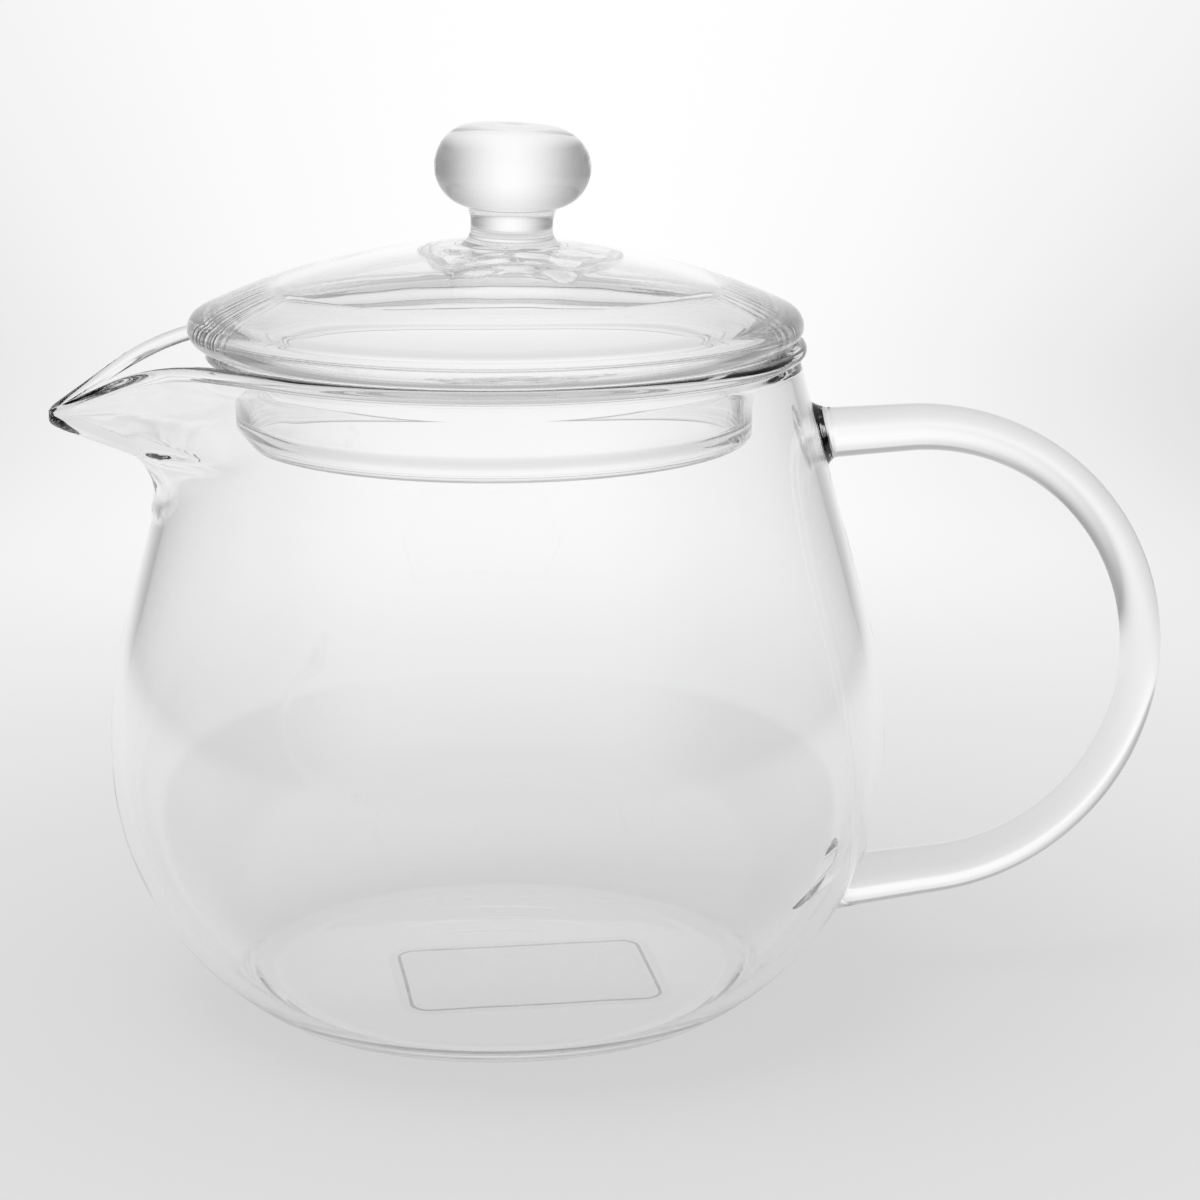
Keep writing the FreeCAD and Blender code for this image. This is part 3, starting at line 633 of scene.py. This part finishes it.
        line.arc(self.lower_centre + run * floor_share, size.belly_height - drop * floor_share, -1,
                 inner_lower)
        line.arc(self.lower_centre + run, floor_height, -1, size.floor_round, fine)
        line.line(0.0, floor_height, 4 * MM)
        return line

    def draw_beak(self, spot):
        """Moves a spot of the round body to its place in the body with its beak."""
        size = self.sizes
        if spot.z <= self.join_height:
            return
        bearing = math.atan2(spot.y, -spot.x)
        if abs(bearing) > BEAK_SWEEP:
            return
        through = (self.outer(spot.z) - spot.xy.length) / (self.outer(spot.z) - self.inner(spot.z))
        through = min(1.0, max(0.0, through))
        bulge = self.bulge(spot.z) * ease(abs(bearing), 0.0, BEAD_SWEEP)
        middle = self.beak(bearing, size.rim_height, self.rim_radius - size.rim_wall / 2, size.wall / 2)
        top = self.lip_height(middle * math.cos(bearing))
        fixed = self.spout_root
        if spot.z > fixed:
            spot.z = fixed + (spot.z - fixed) * (top - fixed) / (size.rim_height - fixed)
        wall = self.lean_wall + (size.spout_wall - self.lean_wall) * ease(spot.z, fixed, self.tip_height)
        outside = self.beak(bearing, spot.z, self.cone(spot.z), 0.0) + bulge
        inside = self.beak(bearing, spot.z, self.inner(spot.z), wall)
        spot.xy = spot.xy.normalized() * (outside + through * (inside - outside))


def gather(spot):
    """Turns a spot about the axis, so that the mesh is closest at the beak and close at the handle."""
    to_beak, to_both = 0.2, 0.35
    bearing = math.atan2(spot.y, spot.x)
    spot.xy = Matrix.Rotation(to_beak * math.sin(bearing) - to_both * math.sin(2 * bearing), 2) @ spot.xy


class Root:
    """One of the two places where the handle's rod runs into the wall."""

    def __init__(self, shape, upper):
        size = bpy.context.scene.teapot_handle
        self.shape = shape
        rim = shape.sizes.rim_height
        low, high = size.lower_root, rim - size.root_drop
        self.bow = Vector((shape.sizes.belly_radius + size.bow_set, 0.0, (low + high) / 2 + size.bow_rise))
        self.bow_radius = (high - low) / 2 - size.bow_ease
        height = high if upper else low
        self.place = Vector((shape.outer(height), 0.0, height))
        way = self.bow - self.place
        side = 1 if upper else -1
        self.lead = math.atan2(way.z, way.x) + side * math.asin(self.bow_radius / way.length)
        self.along = Vector((math.cos(self.lead), 0.0, math.sin(self.lead)))
        self.above = Vector((-math.sin(self.lead), 0.0, math.cos(self.lead)))
        self.rod = (size.rod_upper if upper else size.rod_lower) / 2
        self.foot = self.rod + size.weld_flare
        self.weld = size.upper_weld if upper else size.lower_weld
        self.rod_end = self.place + self.along * self.weld
        self.touch = self.bow + self.above * self.bow_radius * side

    def on_wall(self, across, up):
        """The spot of the wall that lies so far across and up from the lead, looking along it."""
        height, rounds = self.place.z, 8
        for _ in range(rounds):
            reach = math.sqrt(self.shape.outer(height) ** 2 - across ** 2)
            height = self.place.z + (up + (reach - self.place.x) * math.sin(self.lead)) / math.cos(self.lead)
        return Vector((reach, across, height))

    def seat(self, mesh):
        """Draws a stretch of the wall into a round patch, for the bead to be melted on."""
        fade = 1.9
        low, high = self.on_wall(0.0, -self.foot).z, self.on_wall(0.0, self.foot).z
        spots = [vert for vert in mesh.verts
                 if vert.co.x > 0 and abs(vert.co.xy.length - self.shape.outer(vert.co.z)) < 0.05 * MM
                 and abs(vert.co.z - self.place.z) < fade * (high - low) / 2 + self.foot]
        rows = sorted({round(vert.co.z / MM, 3) for vert in spots})
        low = min(rows, key=lambda row: abs(row * MM - low)) * MM
        high = min(rows, key=lambda row: abs(row * MM - high)) * MM
        turns = sorted({round(math.atan2(vert.co.y, vert.co.x), 6) for vert in spots})
        half_turn = min(turns, key=lambda turn: abs(turn * self.place.x - self.foot))
        middle, half_height = (low + high) / 2, (high - low) / 2
        patch = set()
        for vert in spots:
            turn = math.atan2(vert.co.y, vert.co.x)
            square = Vector((turn / half_turn, (vert.co.z - middle) / half_height))
            size = max(abs(square.x), abs(square.y))
            if size > fade:
                continue
            if size < 1.001:
                patch.add(vert)
            flat = square / max(size, 1.0)
            disc = Vector((flat.x * math.sqrt(1 - flat.y ** 2 / 2), flat.y * math.sqrt(1 - flat.x ** 2 / 2)))
            goal = self.on_wall(disc.x * self.foot, disc.y * self.foot)
            pull = 1.0 - ease(size, 1.0, fade)
            turn += (math.atan2(goal.y, goal.x) - flat.x * half_turn) * pull
            height = vert.co.z + (goal.z - middle - flat.y * half_height) * pull
            reach = self.shape.outer(height)
            vert.co = (reach * math.cos(turn), reach * math.sin(turn), height)
        for face in mesh.faces:
            if all(vert in patch for vert in face.verts):
                face.material_index = SEAM


class TEAPOT_OT_body(Operator):
    """Blows the body: foot, belly, shoulder, rim and pinched beak"""

    bl_idname = "teapot.body"
    bl_label = "Body"
    bl_options = {"REGISTER", "UNDO"}

    def execute(self, context):
        shape = PotShape()
        mesh = shape.outline().turned(context.scene.teapot_glass.pot_steps)
        for vert in mesh.verts:
            gather(vert.co)
            shape.draw_beak(vert.co)
        for upper in (True, False):
            Root(shape, upper).seat(mesh)
        finish_glass(mesh, "pot_body_glass", "pot", "pot_body")
        return {"FINISHED"}


# Handle

class TEAPOT_OT_handle(Operator):
    """Bends the handle's rod into a bow with two straight leads, thinner in the middle"""

    bl_idname = "teapot.handle"
    bl_label = "Handle"
    bl_options = {"REGISTER", "UNDO"}

    def execute(self, context):
        shape = PotShape()
        upper, lower = Root(shape, True), Root(shape, False)
        mesh = bmesh.new()
        sides = context.scene.teapot_glass.rod_steps
        upper_steps, bow_steps, lower_steps = 4, 120, 3
        ring = bmesh.ops.create_circle(mesh, segments=sides, radius=1.0)["verts"]
        square_on = Matrix.Translation(upper.rod_end) @ Matrix.Rotation(math.pi / 2 - upper.lead, 4, "Y")
        bmesh.ops.transform(mesh, matrix=square_on @ Matrix.Scale(upper.rod, 4), verts=ring)
        first = mesh.edges[:]
        last = self.run(mesh, first, upper.touch - upper.rod_end, upper_steps)
        sweep = math.pi + upper.lead - lower.lead
        bent = bmesh.ops.spin(mesh, geom=last + self.spots(last), cent=upper.bow, axis=(0, 1, 0), angle=sweep,
                              steps=bow_steps)
        last = [item for item in bent["geom_last"] if isinstance(item, bmesh.types.BMEdge)]
        last = self.run(mesh, last, lower.rod_end - lower.touch, lower_steps)
        for edges in (first, last):
            for face in bmesh.ops.edgeloop_fill(mesh, edges=edges)["faces"]:
                face.material_index = SEAM
        bmesh.ops.recalc_face_normals(mesh, faces=mesh.faces)
        self.draw_thin(mesh, upper, lower, sweep, context.scene.teapot_handle.rod_middle / 2)
        crisp_seams(mesh)
        finish_glass(mesh, "handle_glass", "pot", "handle")
        return {"FINISHED"}

    def spots(self, edges):
        return list({vert for edge in edges for vert in edge.verts})

    def run(self, mesh, edges, way, steps):
        """Extrudes a ring along a straight lead and gives the last ring."""
        for _ in range(steps):
            grown = bmesh.ops.extrude_edge_only(mesh, edges=edges)["geom"]
            edges = [item for item in grown if isinstance(item, bmesh.types.BMEdge)]
            bmesh.ops.translate(mesh, vec=way / steps, verts=self.spots(edges))
        return edges

    def draw_thin(self, mesh, upper, lower, sweep, middle):
        """Draws the rod thinner towards the middle of the bow."""
        bow, radius = upper.bow, upper.bow_radius
        start = (upper.touch - upper.rod_end).length
        end = (lower.touch - lower.rod_end).length
        half = (start + radius * sweep + end) / 2
        for vert in mesh.verts:
            from_bow = vert.co - bow
            turned = math.pi / 2 + upper.lead - math.atan2(from_bow.z, from_bow.x)
            before = (vert.co - upper.touch).dot(upper.along)
            after = (lower.touch - vert.co).dot(lower.along)
            if vert.co.z > bow.z and before < 0:
                along, core = start + before, upper.touch + upper.along * before
            elif vert.co.z < bow.z and after > 0:
                along, core = start + radius * sweep + after, lower.touch - lower.along * after
            else:
                along = start + radius * turned
                core = bow + Vector((from_bow.x, 0.0, from_bow.z)).normalized() * radius
            thick = upper.rod if along < half else lower.rod
            goal = middle + (thick - middle) * (along / half - 1) ** 2
            vert.co = core + (vert.co - core) * goal / upper.rod


class TEAPOT_OT_handle_welds(Operator):
    """Melts the two flared beads that join the handle's rod to the wall"""

    bl_idname = "teapot.handle_welds"
    bl_label = "Handle welds"
    bl_options = {"REGISTER", "UNDO"}

    def execute(self, context):
        shape = PotShape()
        self.melt(Root(shape, True), "handle_upper_weld")
        self.melt(Root(shape, False), "handle_lower_weld")
        return {"FINISHED"}

    def melt(self, root, node):
        """Starts from the pot's own patch and draws its edge out to the rod."""
        mesh = bmesh.new()
        mesh.from_mesh(bpy.data.objects["pot_body_glass"].data)
        spare = [face for face in mesh.faces if face.material_index != SEAM
                 or abs(face.calc_center_median().z - root.place.z) > 3 * root.foot]
        bmesh.ops.delete(mesh, geom=spare, context="FACES")
        edges = [edge for edge in mesh.edges if edge.is_boundary]
        rows, hollow = 10, 2.2
        for row in range(1, rows + 1):
            grown = bmesh.ops.extrude_edge_only(mesh, edges=edges)["geom"]
            edges = [item for item in grown if isinstance(item, bmesh.types.BMEdge)]
            for face in grown:
                if isinstance(face, bmesh.types.BMFace):
                    face.material_index = OPEN
            left = 1 - row / rows
            flare = root.rod + (root.foot - root.rod) * left ** hollow
            for vert in {vert for edge in edges for vert in edge.verts}:
                offset = vert.co - root.place
                up, across = offset.dot(root.above), offset.y
                away = math.hypot(up, across)
                wall = root.on_wall(across * root.foot / away, up * root.foot / away) - root.place
                along = wall.dot(root.along) * left + root.weld * (1 - left)
                vert.co = root.place + root.along * along + root.above * up * flare / away
                vert.co.y = across * flare / away
        for face in bmesh.ops.edgeloop_fill(mesh, edges=edges)["faces"]:
            face.material_index = SEAM
        bmesh.ops.recalc_face_normals(mesh, faces=mesh.faces)
        crisp_seams(mesh)
        finish_glass(mesh, node + "_glass", "pot", node)


# Lid

class LidShape:
    """Heights and radii of the lid, worked out from its sizes and the pot's."""

    def __init__(self):
        pot = PotShape()
        self.sizes = size = plain(bpy.context.scene.teapot_lid)
        self.rim = pot.sizes.rim_height
        self.edge_centre = size.edge_radius - size.edge_tube
        self.edge_height = self.rim + size.edge_tube
        edge_reach = size.dome - size.edge_tube
        self.dome_centre = self.edge_height - math.sqrt(edge_reach ** 2 - self.edge_centre ** 2)
        self.dome_top = self.dome_centre + size.dome
        self.plug = pot.mouth_radius - size.plug_clearance
        self.skirt = self.plug - size.skirt_step
        self.lean = math.asin(size.knob_shift / size.dome)

    def dome_height(self, radius):
        """Height of the dome's outside, by the distance from the middle."""
        return self.dome_centre + math.sqrt(self.sizes.dome ** 2 - radius ** 2)

    def lean_over(self, spot, part=1.0):
        """Turns a spot about the dome's centre, as far as the knob stands off the middle."""
        centre = Matrix.Translation((0.0, 0.0, self.dome_centre))
        return centre @ Matrix.Rotation(self.lean * part, 4, "Y") @ centre.inverted() @ spot

    def stand_up(self, spot):
        """Turns a spot back, so that the knob's axis is the Z axis."""
        return self.lean_over(spot, -1.0)

    def outline(self):
        """The lid's outline from the middle of its inside, round the skirt and the edge, to its top."""
        size = self.sizes
        fine = 0.25 * MM
        inner_dome = size.dome - size.wall
        inner_plug, inner_skirt = self.plug - size.wall, self.skirt - size.wall
        land = self.rim - size.plug_land
        skirt_end = self.rim - size.skirt_depth
        skirt_top = land - math.sqrt(size.skirt_flare ** 2 - (size.skirt_flare - size.skirt_step) ** 2)
        inner_flare = size.skirt_flare + size.wall
        inner_land = skirt_top + math.sqrt(inner_flare ** 2 - (inner_flare - size.skirt_step) ** 2)
        run = self.edge_centre / (size.dome - size.edge_tube)
        rise = (self.edge_height - self.dome_centre) / (size.dome - size.edge_tube)
        bead = size.skirt_bead
        seat = self.edge_centre - self.plug
        line = Outline(0.0, self.dome_centre + inner_dome, 1.2 * MM)
        softened = 1.3 * size.melt_reach
        softened_height = self.dome_centre + math.sqrt(inner_dome ** 2 - softened ** 2)
        line.arc(softened, softened_height, -1, inner_dome, 0.4 * MM)
        start = Vector((math.sin(size.sweep_start), math.cos(size.sweep_start)))
        sweep = Vector((0.0, self.dome_centre)) + start * (inner_dome - size.plug_sweep)
        lean = math.asin((inner_plug - size.plug_round - sweep.x) / (size.plug_sweep - size.plug_round))
        end = Vector((math.sin(lean), math.cos(lean)))
        bend = sweep + end * (size.plug_sweep - size.plug_round)
        line.arc(*(sweep + start * size.plug_sweep), -1, inner_dome)
        line.arc(*(sweep + end * size.plug_sweep), -1, size.plug_sweep, 0.5 * MM)
        line.arc(inner_plug, bend.y, -1, size.plug_round, 0.2 * MM)
        line.line(inner_plug, inner_land, fine)
        line.arc(inner_skirt, skirt_top, 1, inner_flare, 0.5 * MM)
        line.line(inner_skirt, skirt_end + 3 * bead)
        thicker = self.skirt - 2 * bead - inner_skirt
        for spot in line.line(self.skirt - 2 * bead, skirt_end + bead, fine):
            spot.co.x = inner_skirt + thicker * ease(spot.co.z, skirt_end + 3 * bead, skirt_end + bead)
        line.arc(self.skirt - bead, skirt_end, 1, bead, 0.18 * MM)
        line.arc(self.skirt, skirt_end + bead, 1, bead, 0.18 * MM)
        line.line(self.skirt, skirt_top)
        line.arc(self.plug, land, -1, size.skirt_flare, 0.5 * MM)
        line.line(self.plug, self.rim - seat, fine)
        line.arc(self.edge_centre, self.rim, -1, seat, 0.1 * MM)
        line.arc(size.edge_radius, self.edge_height, 1, size.edge_tube, fine)
        line.arc(size.dome * run, self.dome_centre + size.dome * rise, 1, size.edge_tube, fine)
        for radius in (size.stem_radius + size.collar_width, size.stem_radius, 0.0):
            line.arc(radius, self.dome_height(radius), 1, size.dome)
        return line


class TEAPOT_OT_lid(Operator):
    """Blows the hollow lid: dome, rolled edge, plug and skirt"""

    bl_idname = "teapot.lid"
    bl_label = "Lid"
    bl_options = {"REGISTER", "UNDO"}

    def execute(self, context):
        shape = LidShape()
        size = shape.sizes
        mesh = shape.outline().turned(context.scene.teapot_glass.lid_steps)
        inner_dome = size.dome - size.wall
        lean_full, lean_none = 8 * MM, 25 * MM
        middle = Vector((0.0, 0.0, shape.dome_centre))
        for vert in mesh.verts:
            radius = vert.co.xy.length
            from_middle = vert.co - middle
            if vert.co.z < shape.edge_height or radius > shape.edge_centre:
                continue
            under = abs(from_middle.length - inner_dome) < 0.1 * MM
            vert.co = shape.lean_over(vert.co, 1 - ease(radius, lean_full, lean_none))
            if under:
                self.melt(vert.co, shape.stand_up(vert.co), size)
        seam = size.stem_radius + size.collar_width
        for face in mesh.faces:
            middle_spot = face.calc_center_median()
            spot = shape.stand_up(middle_spot)
            if spot.xy.length < seam and spot.z > shape.dome_height(seam) - 0.1 * MM:
                face.material_index = SEAM
                continue
            in_band = size.tooled_radius < middle_spot.xy.length < shape.plug
            inside = (middle_spot - middle).length < size.dome - size.wall / 2
            if in_band and inside and middle_spot.z > shape.rim - size.tooled_drop:
                face.material_index = TOOLED
        finish_glass(mesh, "lid_shell_glass", "lid", "lid_shell", tooled=True)
        return {"FINISHED"}

    def melt(self, spot, from_knob, size):
        """Puddle of uneven glass under the knob, where the flame softened the dome."""
        lobes, swirls, layer, steep = 1.7, 230, 3.7, 0.86
        radius = from_knob.xy.length
        across = from_knob.xy.normalized() * lobes
        wander = noise.noise(Vector((across.x, across.y, layer)))
        reach = size.melt_reach * (1 + 0.3 * wander)
        swirl = noise.noise(Vector((spot.x * swirls, spot.y * swirls, layer)))
        drop = (1 - ease(radius, reach * steep, reach)) * (1 + 0.5 * swirl)
        spot.z -= size.melt_drop * drop


class TEAPOT_OT_knob(Operator):
    """Gathers the solid knob on its stem, and the collar of melted glass round its foot"""

    bl_idname = "teapot.knob"
    bl_label = "Knob and collar"
    bl_options = {"REGISTER", "UNDO"}

    def execute(self, context):
        shape = LidShape()
        steps = context.scene.teapot_glass.knob_steps
        self.gather_knob(shape, steps)
        self.melt_collar(shape, steps)
        return {"FINISHED"}

    def gather_knob(self, shape, steps):
        size = shape.sizes
        foot = shape.dome_height(size.stem_radius)
        collar_top = foot + size.collar_height
        neck = size.stem_radius + size.stem_flare
        side_height = shape.dome_top + size.knob_lift + size.knob_side
        side_centre = size.knob_radius - size.knob_side
        neck_height = side_height - math.sqrt(size.knob_side ** 2 - (neck - side_centre) ** 2)
        land_height = foot + size.stem_land
        waist = ((neck_height - land_height) ** 2 + size.stem_flare ** 2) / 2 / size.stem_flare
        crown = (side_centre ** 2 + size.knob_crown ** 2) / 2 / size.knob_crown
        line = Outline(0.0, shape.dome_top, 0.3 * MM)
        line.arc(size.stem_radius, foot, -1, size.dome)
        line.line(size.stem_radius, collar_top)
        line.line(size.stem_radius, land_height)
        line.arc(neck, neck_height, -1, waist, 0.15 * MM)
        line.arc(size.knob_radius, side_height, 1, size.knob_side, 0.2 * MM)
        line.arc(side_centre, side_height + size.knob_side, 1, size.knob_side, 0.2 * MM)
        line.arc(0.0, side_height + size.knob_side + size.knob_crown, 1, crown)
        mesh = line.turned(steps)

        def fused(spot):
            under = spot.z < shape.dome_top + 0.01 * MM and spot.xy.length < size.stem_radius - 0.01 * MM
            return under or (spot.z < collar_top and spot.xy.length > size.stem_radius - 0.05 * MM)

        mark_seams(mesh, fused)
        dimple_radius = 2.2 * MM
        for vert in mesh.verts:
            above = ease(vert.co.z, side_height, side_height + size.knob_side)
            vert.co.z -= vert.co.x * math.tan(size.knob_tilt) * above
            dimple = math.exp(-(vert.co.xy.length / dimple_radius) ** 2)
            vert.co.z -= size.knob_dimple * dimple * above
            vert.co = shape.lean_over(vert.co)
        finish_glass(mesh, "knob_glass", "lid", "knob")

    def melt_collar(self, shape, steps):
        size = shape.sizes
        foot = shape.dome_height(size.stem_radius)
        edge = size.stem_radius + size.collar_width
        line = Outline(size.stem_radius, foot, 0.2 * MM)
        line.arc(edge, shape.dome_height(edge), -1, size.dome)
        rise = foot + size.collar_height - shape.dome_height(edge)
        hollow = (size.collar_width + rise ** 2 / size.collar_width) / 2
        line.arc(size.stem_radius, foot + size.collar_height, -1, hollow)
        line.close()
        mesh = line.turned(steps)

        def fused(spot):
            radius = spot.xy.length
            return radius < size.stem_radius + 0.001 * MM or spot.z < shape.dome_height(radius) + 0.003 * MM

        mark_seams(mesh, fused)
        for vert in mesh.verts:
            vert.co = shape.lean_over(vert.co)
        finish_glass(mesh, "knob_weld_glass", "lid", "knob_weld")


# Film

class TEAPOT_OT_film(Operator):
    """Lays the blank clear film on the recessed underside"""

    bl_idname = "teapot.film"
    bl_label = "Film"
    bl_options = {"REGISTER", "UNDO"}

    def execute(self, context):
        size = context.scene.teapot_film
        shape = PotShape()
        mesh = bmesh.new()
        bmesh.ops.create_grid(mesh, x_segments=1, y_segments=1, size=0.5)
        bmesh.ops.scale(mesh, vec=(size.film_length, size.film_width, 1.0), verts=mesh.verts)
        bmesh.ops.bevel(mesh, geom=mesh.verts[:], offset=size.corner, offset_type="OFFSET", segments=8,
                        profile=0.5, affect="VERTICES", material=-1)
        sheet = mesh.faces[:]
        for width, finish in ((size.margin, OPEN), (size.line, BORDER)):
            frame_faces = bmesh.ops.inset_region(mesh, faces=sheet, thickness=width, use_boundary=True,
                                                 use_even_offset=True)["faces"]
            for face in frame_faces:
                face.material_index = finish
        laid = Matrix.Translation((size.shift, size.set_back, 0.0)) @ Matrix.Rotation(size.turn, 4, "Z")
        cuts = 40
        for side in range(1, cuts):
            for axis, reach in (((1, 0, 0), size.film_length), ((0, 1, 0), size.film_width)):
                cut = Vector(axis) * reach * (side / cuts - 0.5)
                bmesh.ops.bisect_plane(mesh, geom=mesh.verts[:] + mesh.edges[:] + mesh.faces[:], plane_co=cut,
                                       plane_no=axis)
        bmesh.ops.transform(mesh, matrix=laid, verts=mesh.verts)
        for vert in mesh.verts:
            vert.co.z = shape.dish(vert.co.xy.length) - size.bond
        grown = bmesh.ops.extrude_face_region(mesh, geom=mesh.faces[:])["geom"]
        lower = [item for item in grown if isinstance(item, bmesh.types.BMVert)]
        bmesh.ops.translate(mesh, vec=(0.0, 0.0, -size.thickness), verts=lower)
        bmesh.ops.recalc_face_normals(mesh, faces=mesh.faces)
        looks = [film_look("clear_film_look", 0.9, 0.04), film_look("film_border_look", 0.5, 0.4)]
        finish_piece(mesh, "base_film_sheet", "pot", FILM_SLOT, looks, "base_film")
        return {"FINISHED"}


# Stage

class TEAPOT_OT_stage(Operator):
    """Sets up the pale table with its painted light and shade, the soft light around it and the camera"""

    bl_idname = "teapot.stage"
    bl_label = "Stage"
    bl_options = {"REGISTER", "UNDO"}

    def execute(self, context):
        scene = context.scene
        self.table(scene)
        self.room(scene)
        self.lamp(scene)
        self.camera(scene)
        scene.view_settings.view_transform = "Standard"
        bounces = 32
        scene.cycles.max_bounces = bounces
        scene.cycles.transmission_bounces = bounces
        scene.cycles.glossy_bounces = bounces
        scene.cycles.transparent_max_bounces = 24
        return {"FINISHED"}

    def round_level(self, graph, place):
        """Level all round the pot: a bright backdrop that fades to dark sides, and a bright front. The world
        shines with it; on the far table it is painted light and shade.
        """
        look = bpy.context.scene.teapot_studio
        axes = graph.node("ShaderNodeSeparateXYZ", {0: place})
        bearing = graph.maths("ARCTAN2", axes.other("Y"), axes)
        ahead = graph.maths("COSINE", bearing - look.facing)
        narrowness = 7.0
        beam = graph.maths("MAXIMUM", ahead, 0.0) ** narrowness
        wide = graph.smooth(ahead, 0.0, 0.6) * (look.wide_level - look.side_level)
        front = graph.smooth(ahead * -1.0, 0.2, 0.9) * (look.front_level - look.side_level)
        return beam * (look.far_level - look.wide_level) + wide + front + look.side_level

    def table(self, scene):
        look = scene.teapot_studio
        mesh = bmesh.new()
        table_radius, clearance = 8.0, 0.02 * MM
        bmesh.ops.create_circle(mesh, cap_ends=True, segments=128, radius=table_radius)
        bmesh.ops.translate(mesh, vec=(0.0, 0.0, -clearance), verts=mesh.verts)
        data = bpy.data.meshes.new("table")
        mesh.to_mesh(data)
        mesh.free()
        material = bpy.data.materials.new("pale_table")
        graph = Graph(material)
        place = graph.node("ShaderNodeTexCoord", {}, output="Object")
        away = graph.node("ShaderNodeVectorMath", {0: place}, output="Value", operation="LENGTH")
        # Painted light and shade: the table's level is grey near the pot and white farther off, in place of a
        # real falloff of light.
        behind = graph.smooth(away, 30 * MM, 320 * MM)
        beyond = graph.smooth(away, 0.1, 0.6)
        painted_falloff = behind * (look.far_level - look.near_painted_shade) + look.near_painted_shade
        # Far off, the table takes the room's level: painted light behind the pot and painted shade at its
        # sides.
        level = painted_falloff + (self.round_level(graph, place) - look.far_level) * beyond
        paths = graph.node("ShaderNodeLightPath", {}, output="Is Camera Ray")
        through = paths.other("Is Glossy Ray") + paths.other("Is Transmission Ray")
        seen = graph.maths("MINIMUM", paths + through, 1.0)
        plain = graph.node("ShaderNodeBsdfDiffuse", {"Color": graph.grey(level)})
        shown = graph.node("ShaderNodeEmission", {"Color": graph.grey(level), "Strength": 1.0})
        shaded = (1 - graph.smooth(away, 0.1, 0.35)) * look.shadow_share
        surface = graph.node("ShaderNodeMixShader", {0: seen * (1 - shaded), 1: plain, 2: shown})
        graph.node("ShaderNodeOutputMaterial", {"Surface": surface})
        data.materials.append(material)
        table = bpy.data.objects.new("table", data)
        scene.collection.objects.link(table)

    def room(self, scene):
        look = scene.teapot_studio
        scene.world = bpy.data.worlds.new("soft_room")
        graph = Graph(scene.world)
        place = graph.node("ShaderNodeTexCoord", {}, output="Generated")
        rise = graph.node("ShaderNodeSeparateXYZ", {0: place}, output="Z")
        upper_side = graph.smooth(rise, 0.1, 0.35)
        above_side = graph.smooth(rise, 0.38, 0.52)
        overhead = graph.smooth(rise, 0.68, 0.85)
        side = self.round_level(graph, place) * (1 - upper_side * look.dimming)
        gap = side + (look.gap_level - side) * above_side
        level = gap + (look.top_level - gap) * overhead
        shown = graph.node("ShaderNodeBackground", {"Color": graph.grey(level), "Strength": 1.0})
        graph.node("ShaderNodeOutputWorld", {"Surface": shown})

    def lamp(self, scene):
        look = scene.teapot_studio
        light = bpy.data.lights.new("soft_lamp", "AREA")
        light.shape = "DISK"
        light.size = 0.6
        light.energy = look.lamp_power
        lamp = bpy.data.objects.new("soft_lamp", light)
        lamp.location = (-0.25, -0.1, 0.8)
        lamp.rotation_euler = (-lamp.location).to_track_quat("-Z", "Y").to_euler()
        lamp.visible_glossy = False
        lamp.visible_transmission = False
        scene.collection.objects.link(lamp)

    def camera(self, scene):
        look = scene.teapot_studio
        lens = bpy.data.cameras.new("camera")
        lens.lens = look.lens
        lens.sensor_width = 36.0
        lens.clip_start = 0.01
        lens.clip_end = 100.0
        camera = bpy.data.objects.new("camera", lens)
        camera.location = look.eye
        camera.rotation_euler = (Vector(look.aim) - Vector(look.eye)).to_track_quat("-Z", "Y").to_euler()
        scene.collection.objects.link(camera)
        scene.camera = camera


class TEAPOT_PT_pieces(Panel):
    """Lists the pieces of the teapot"""

    bl_idname = "TEAPOT_PT_pieces"
    bl_label = "Glass teapot"
    bl_space_type = "VIEW_3D"
    bl_region_type = "UI"
    bl_category = "Teapot"

    def draw(self, context):
        for piece in PIECES:
            self.layout.operator(piece.bl_idname)


GROUPS = {
    "teapot_pot": PotSizes,
    "teapot_handle": HandleSizes,
    "teapot_lid": LidSizes,
    "teapot_film": FilmSizes,
    "teapot_glass": GlassLook,
    "teapot_studio": StudioLook,
}
PIECES = (TEAPOT_OT_body, TEAPOT_OT_handle, TEAPOT_OT_handle_welds, TEAPOT_OT_lid, TEAPOT_OT_knob,
          TEAPOT_OT_film, TEAPOT_OT_stage)


def register():
    for kind in (*GROUPS.values(), *PIECES, TEAPOT_PT_pieces):
        bpy.utils.register_class(kind)
    for name, kind in GROUPS.items():
        setattr(bpy.types.Scene, name, PointerProperty(type=kind))


def unregister():
    for name in GROUPS:
        delattr(bpy.types.Scene, name)
    for kind in reversed((*GROUPS.values(), *PIECES, TEAPOT_PT_pieces)):
        bpy.utils.unregister_class(kind)


def main():
    register()
    bpy.ops.teapot.body()
    bpy.ops.teapot.handle()
    bpy.ops.teapot.handle_welds()
    bpy.ops.teapot.lid()
    bpy.ops.teapot.knob()
    bpy.ops.teapot.film()
    bpy.ops.teapot.stage()


if __name__ == "__main__":
    main()
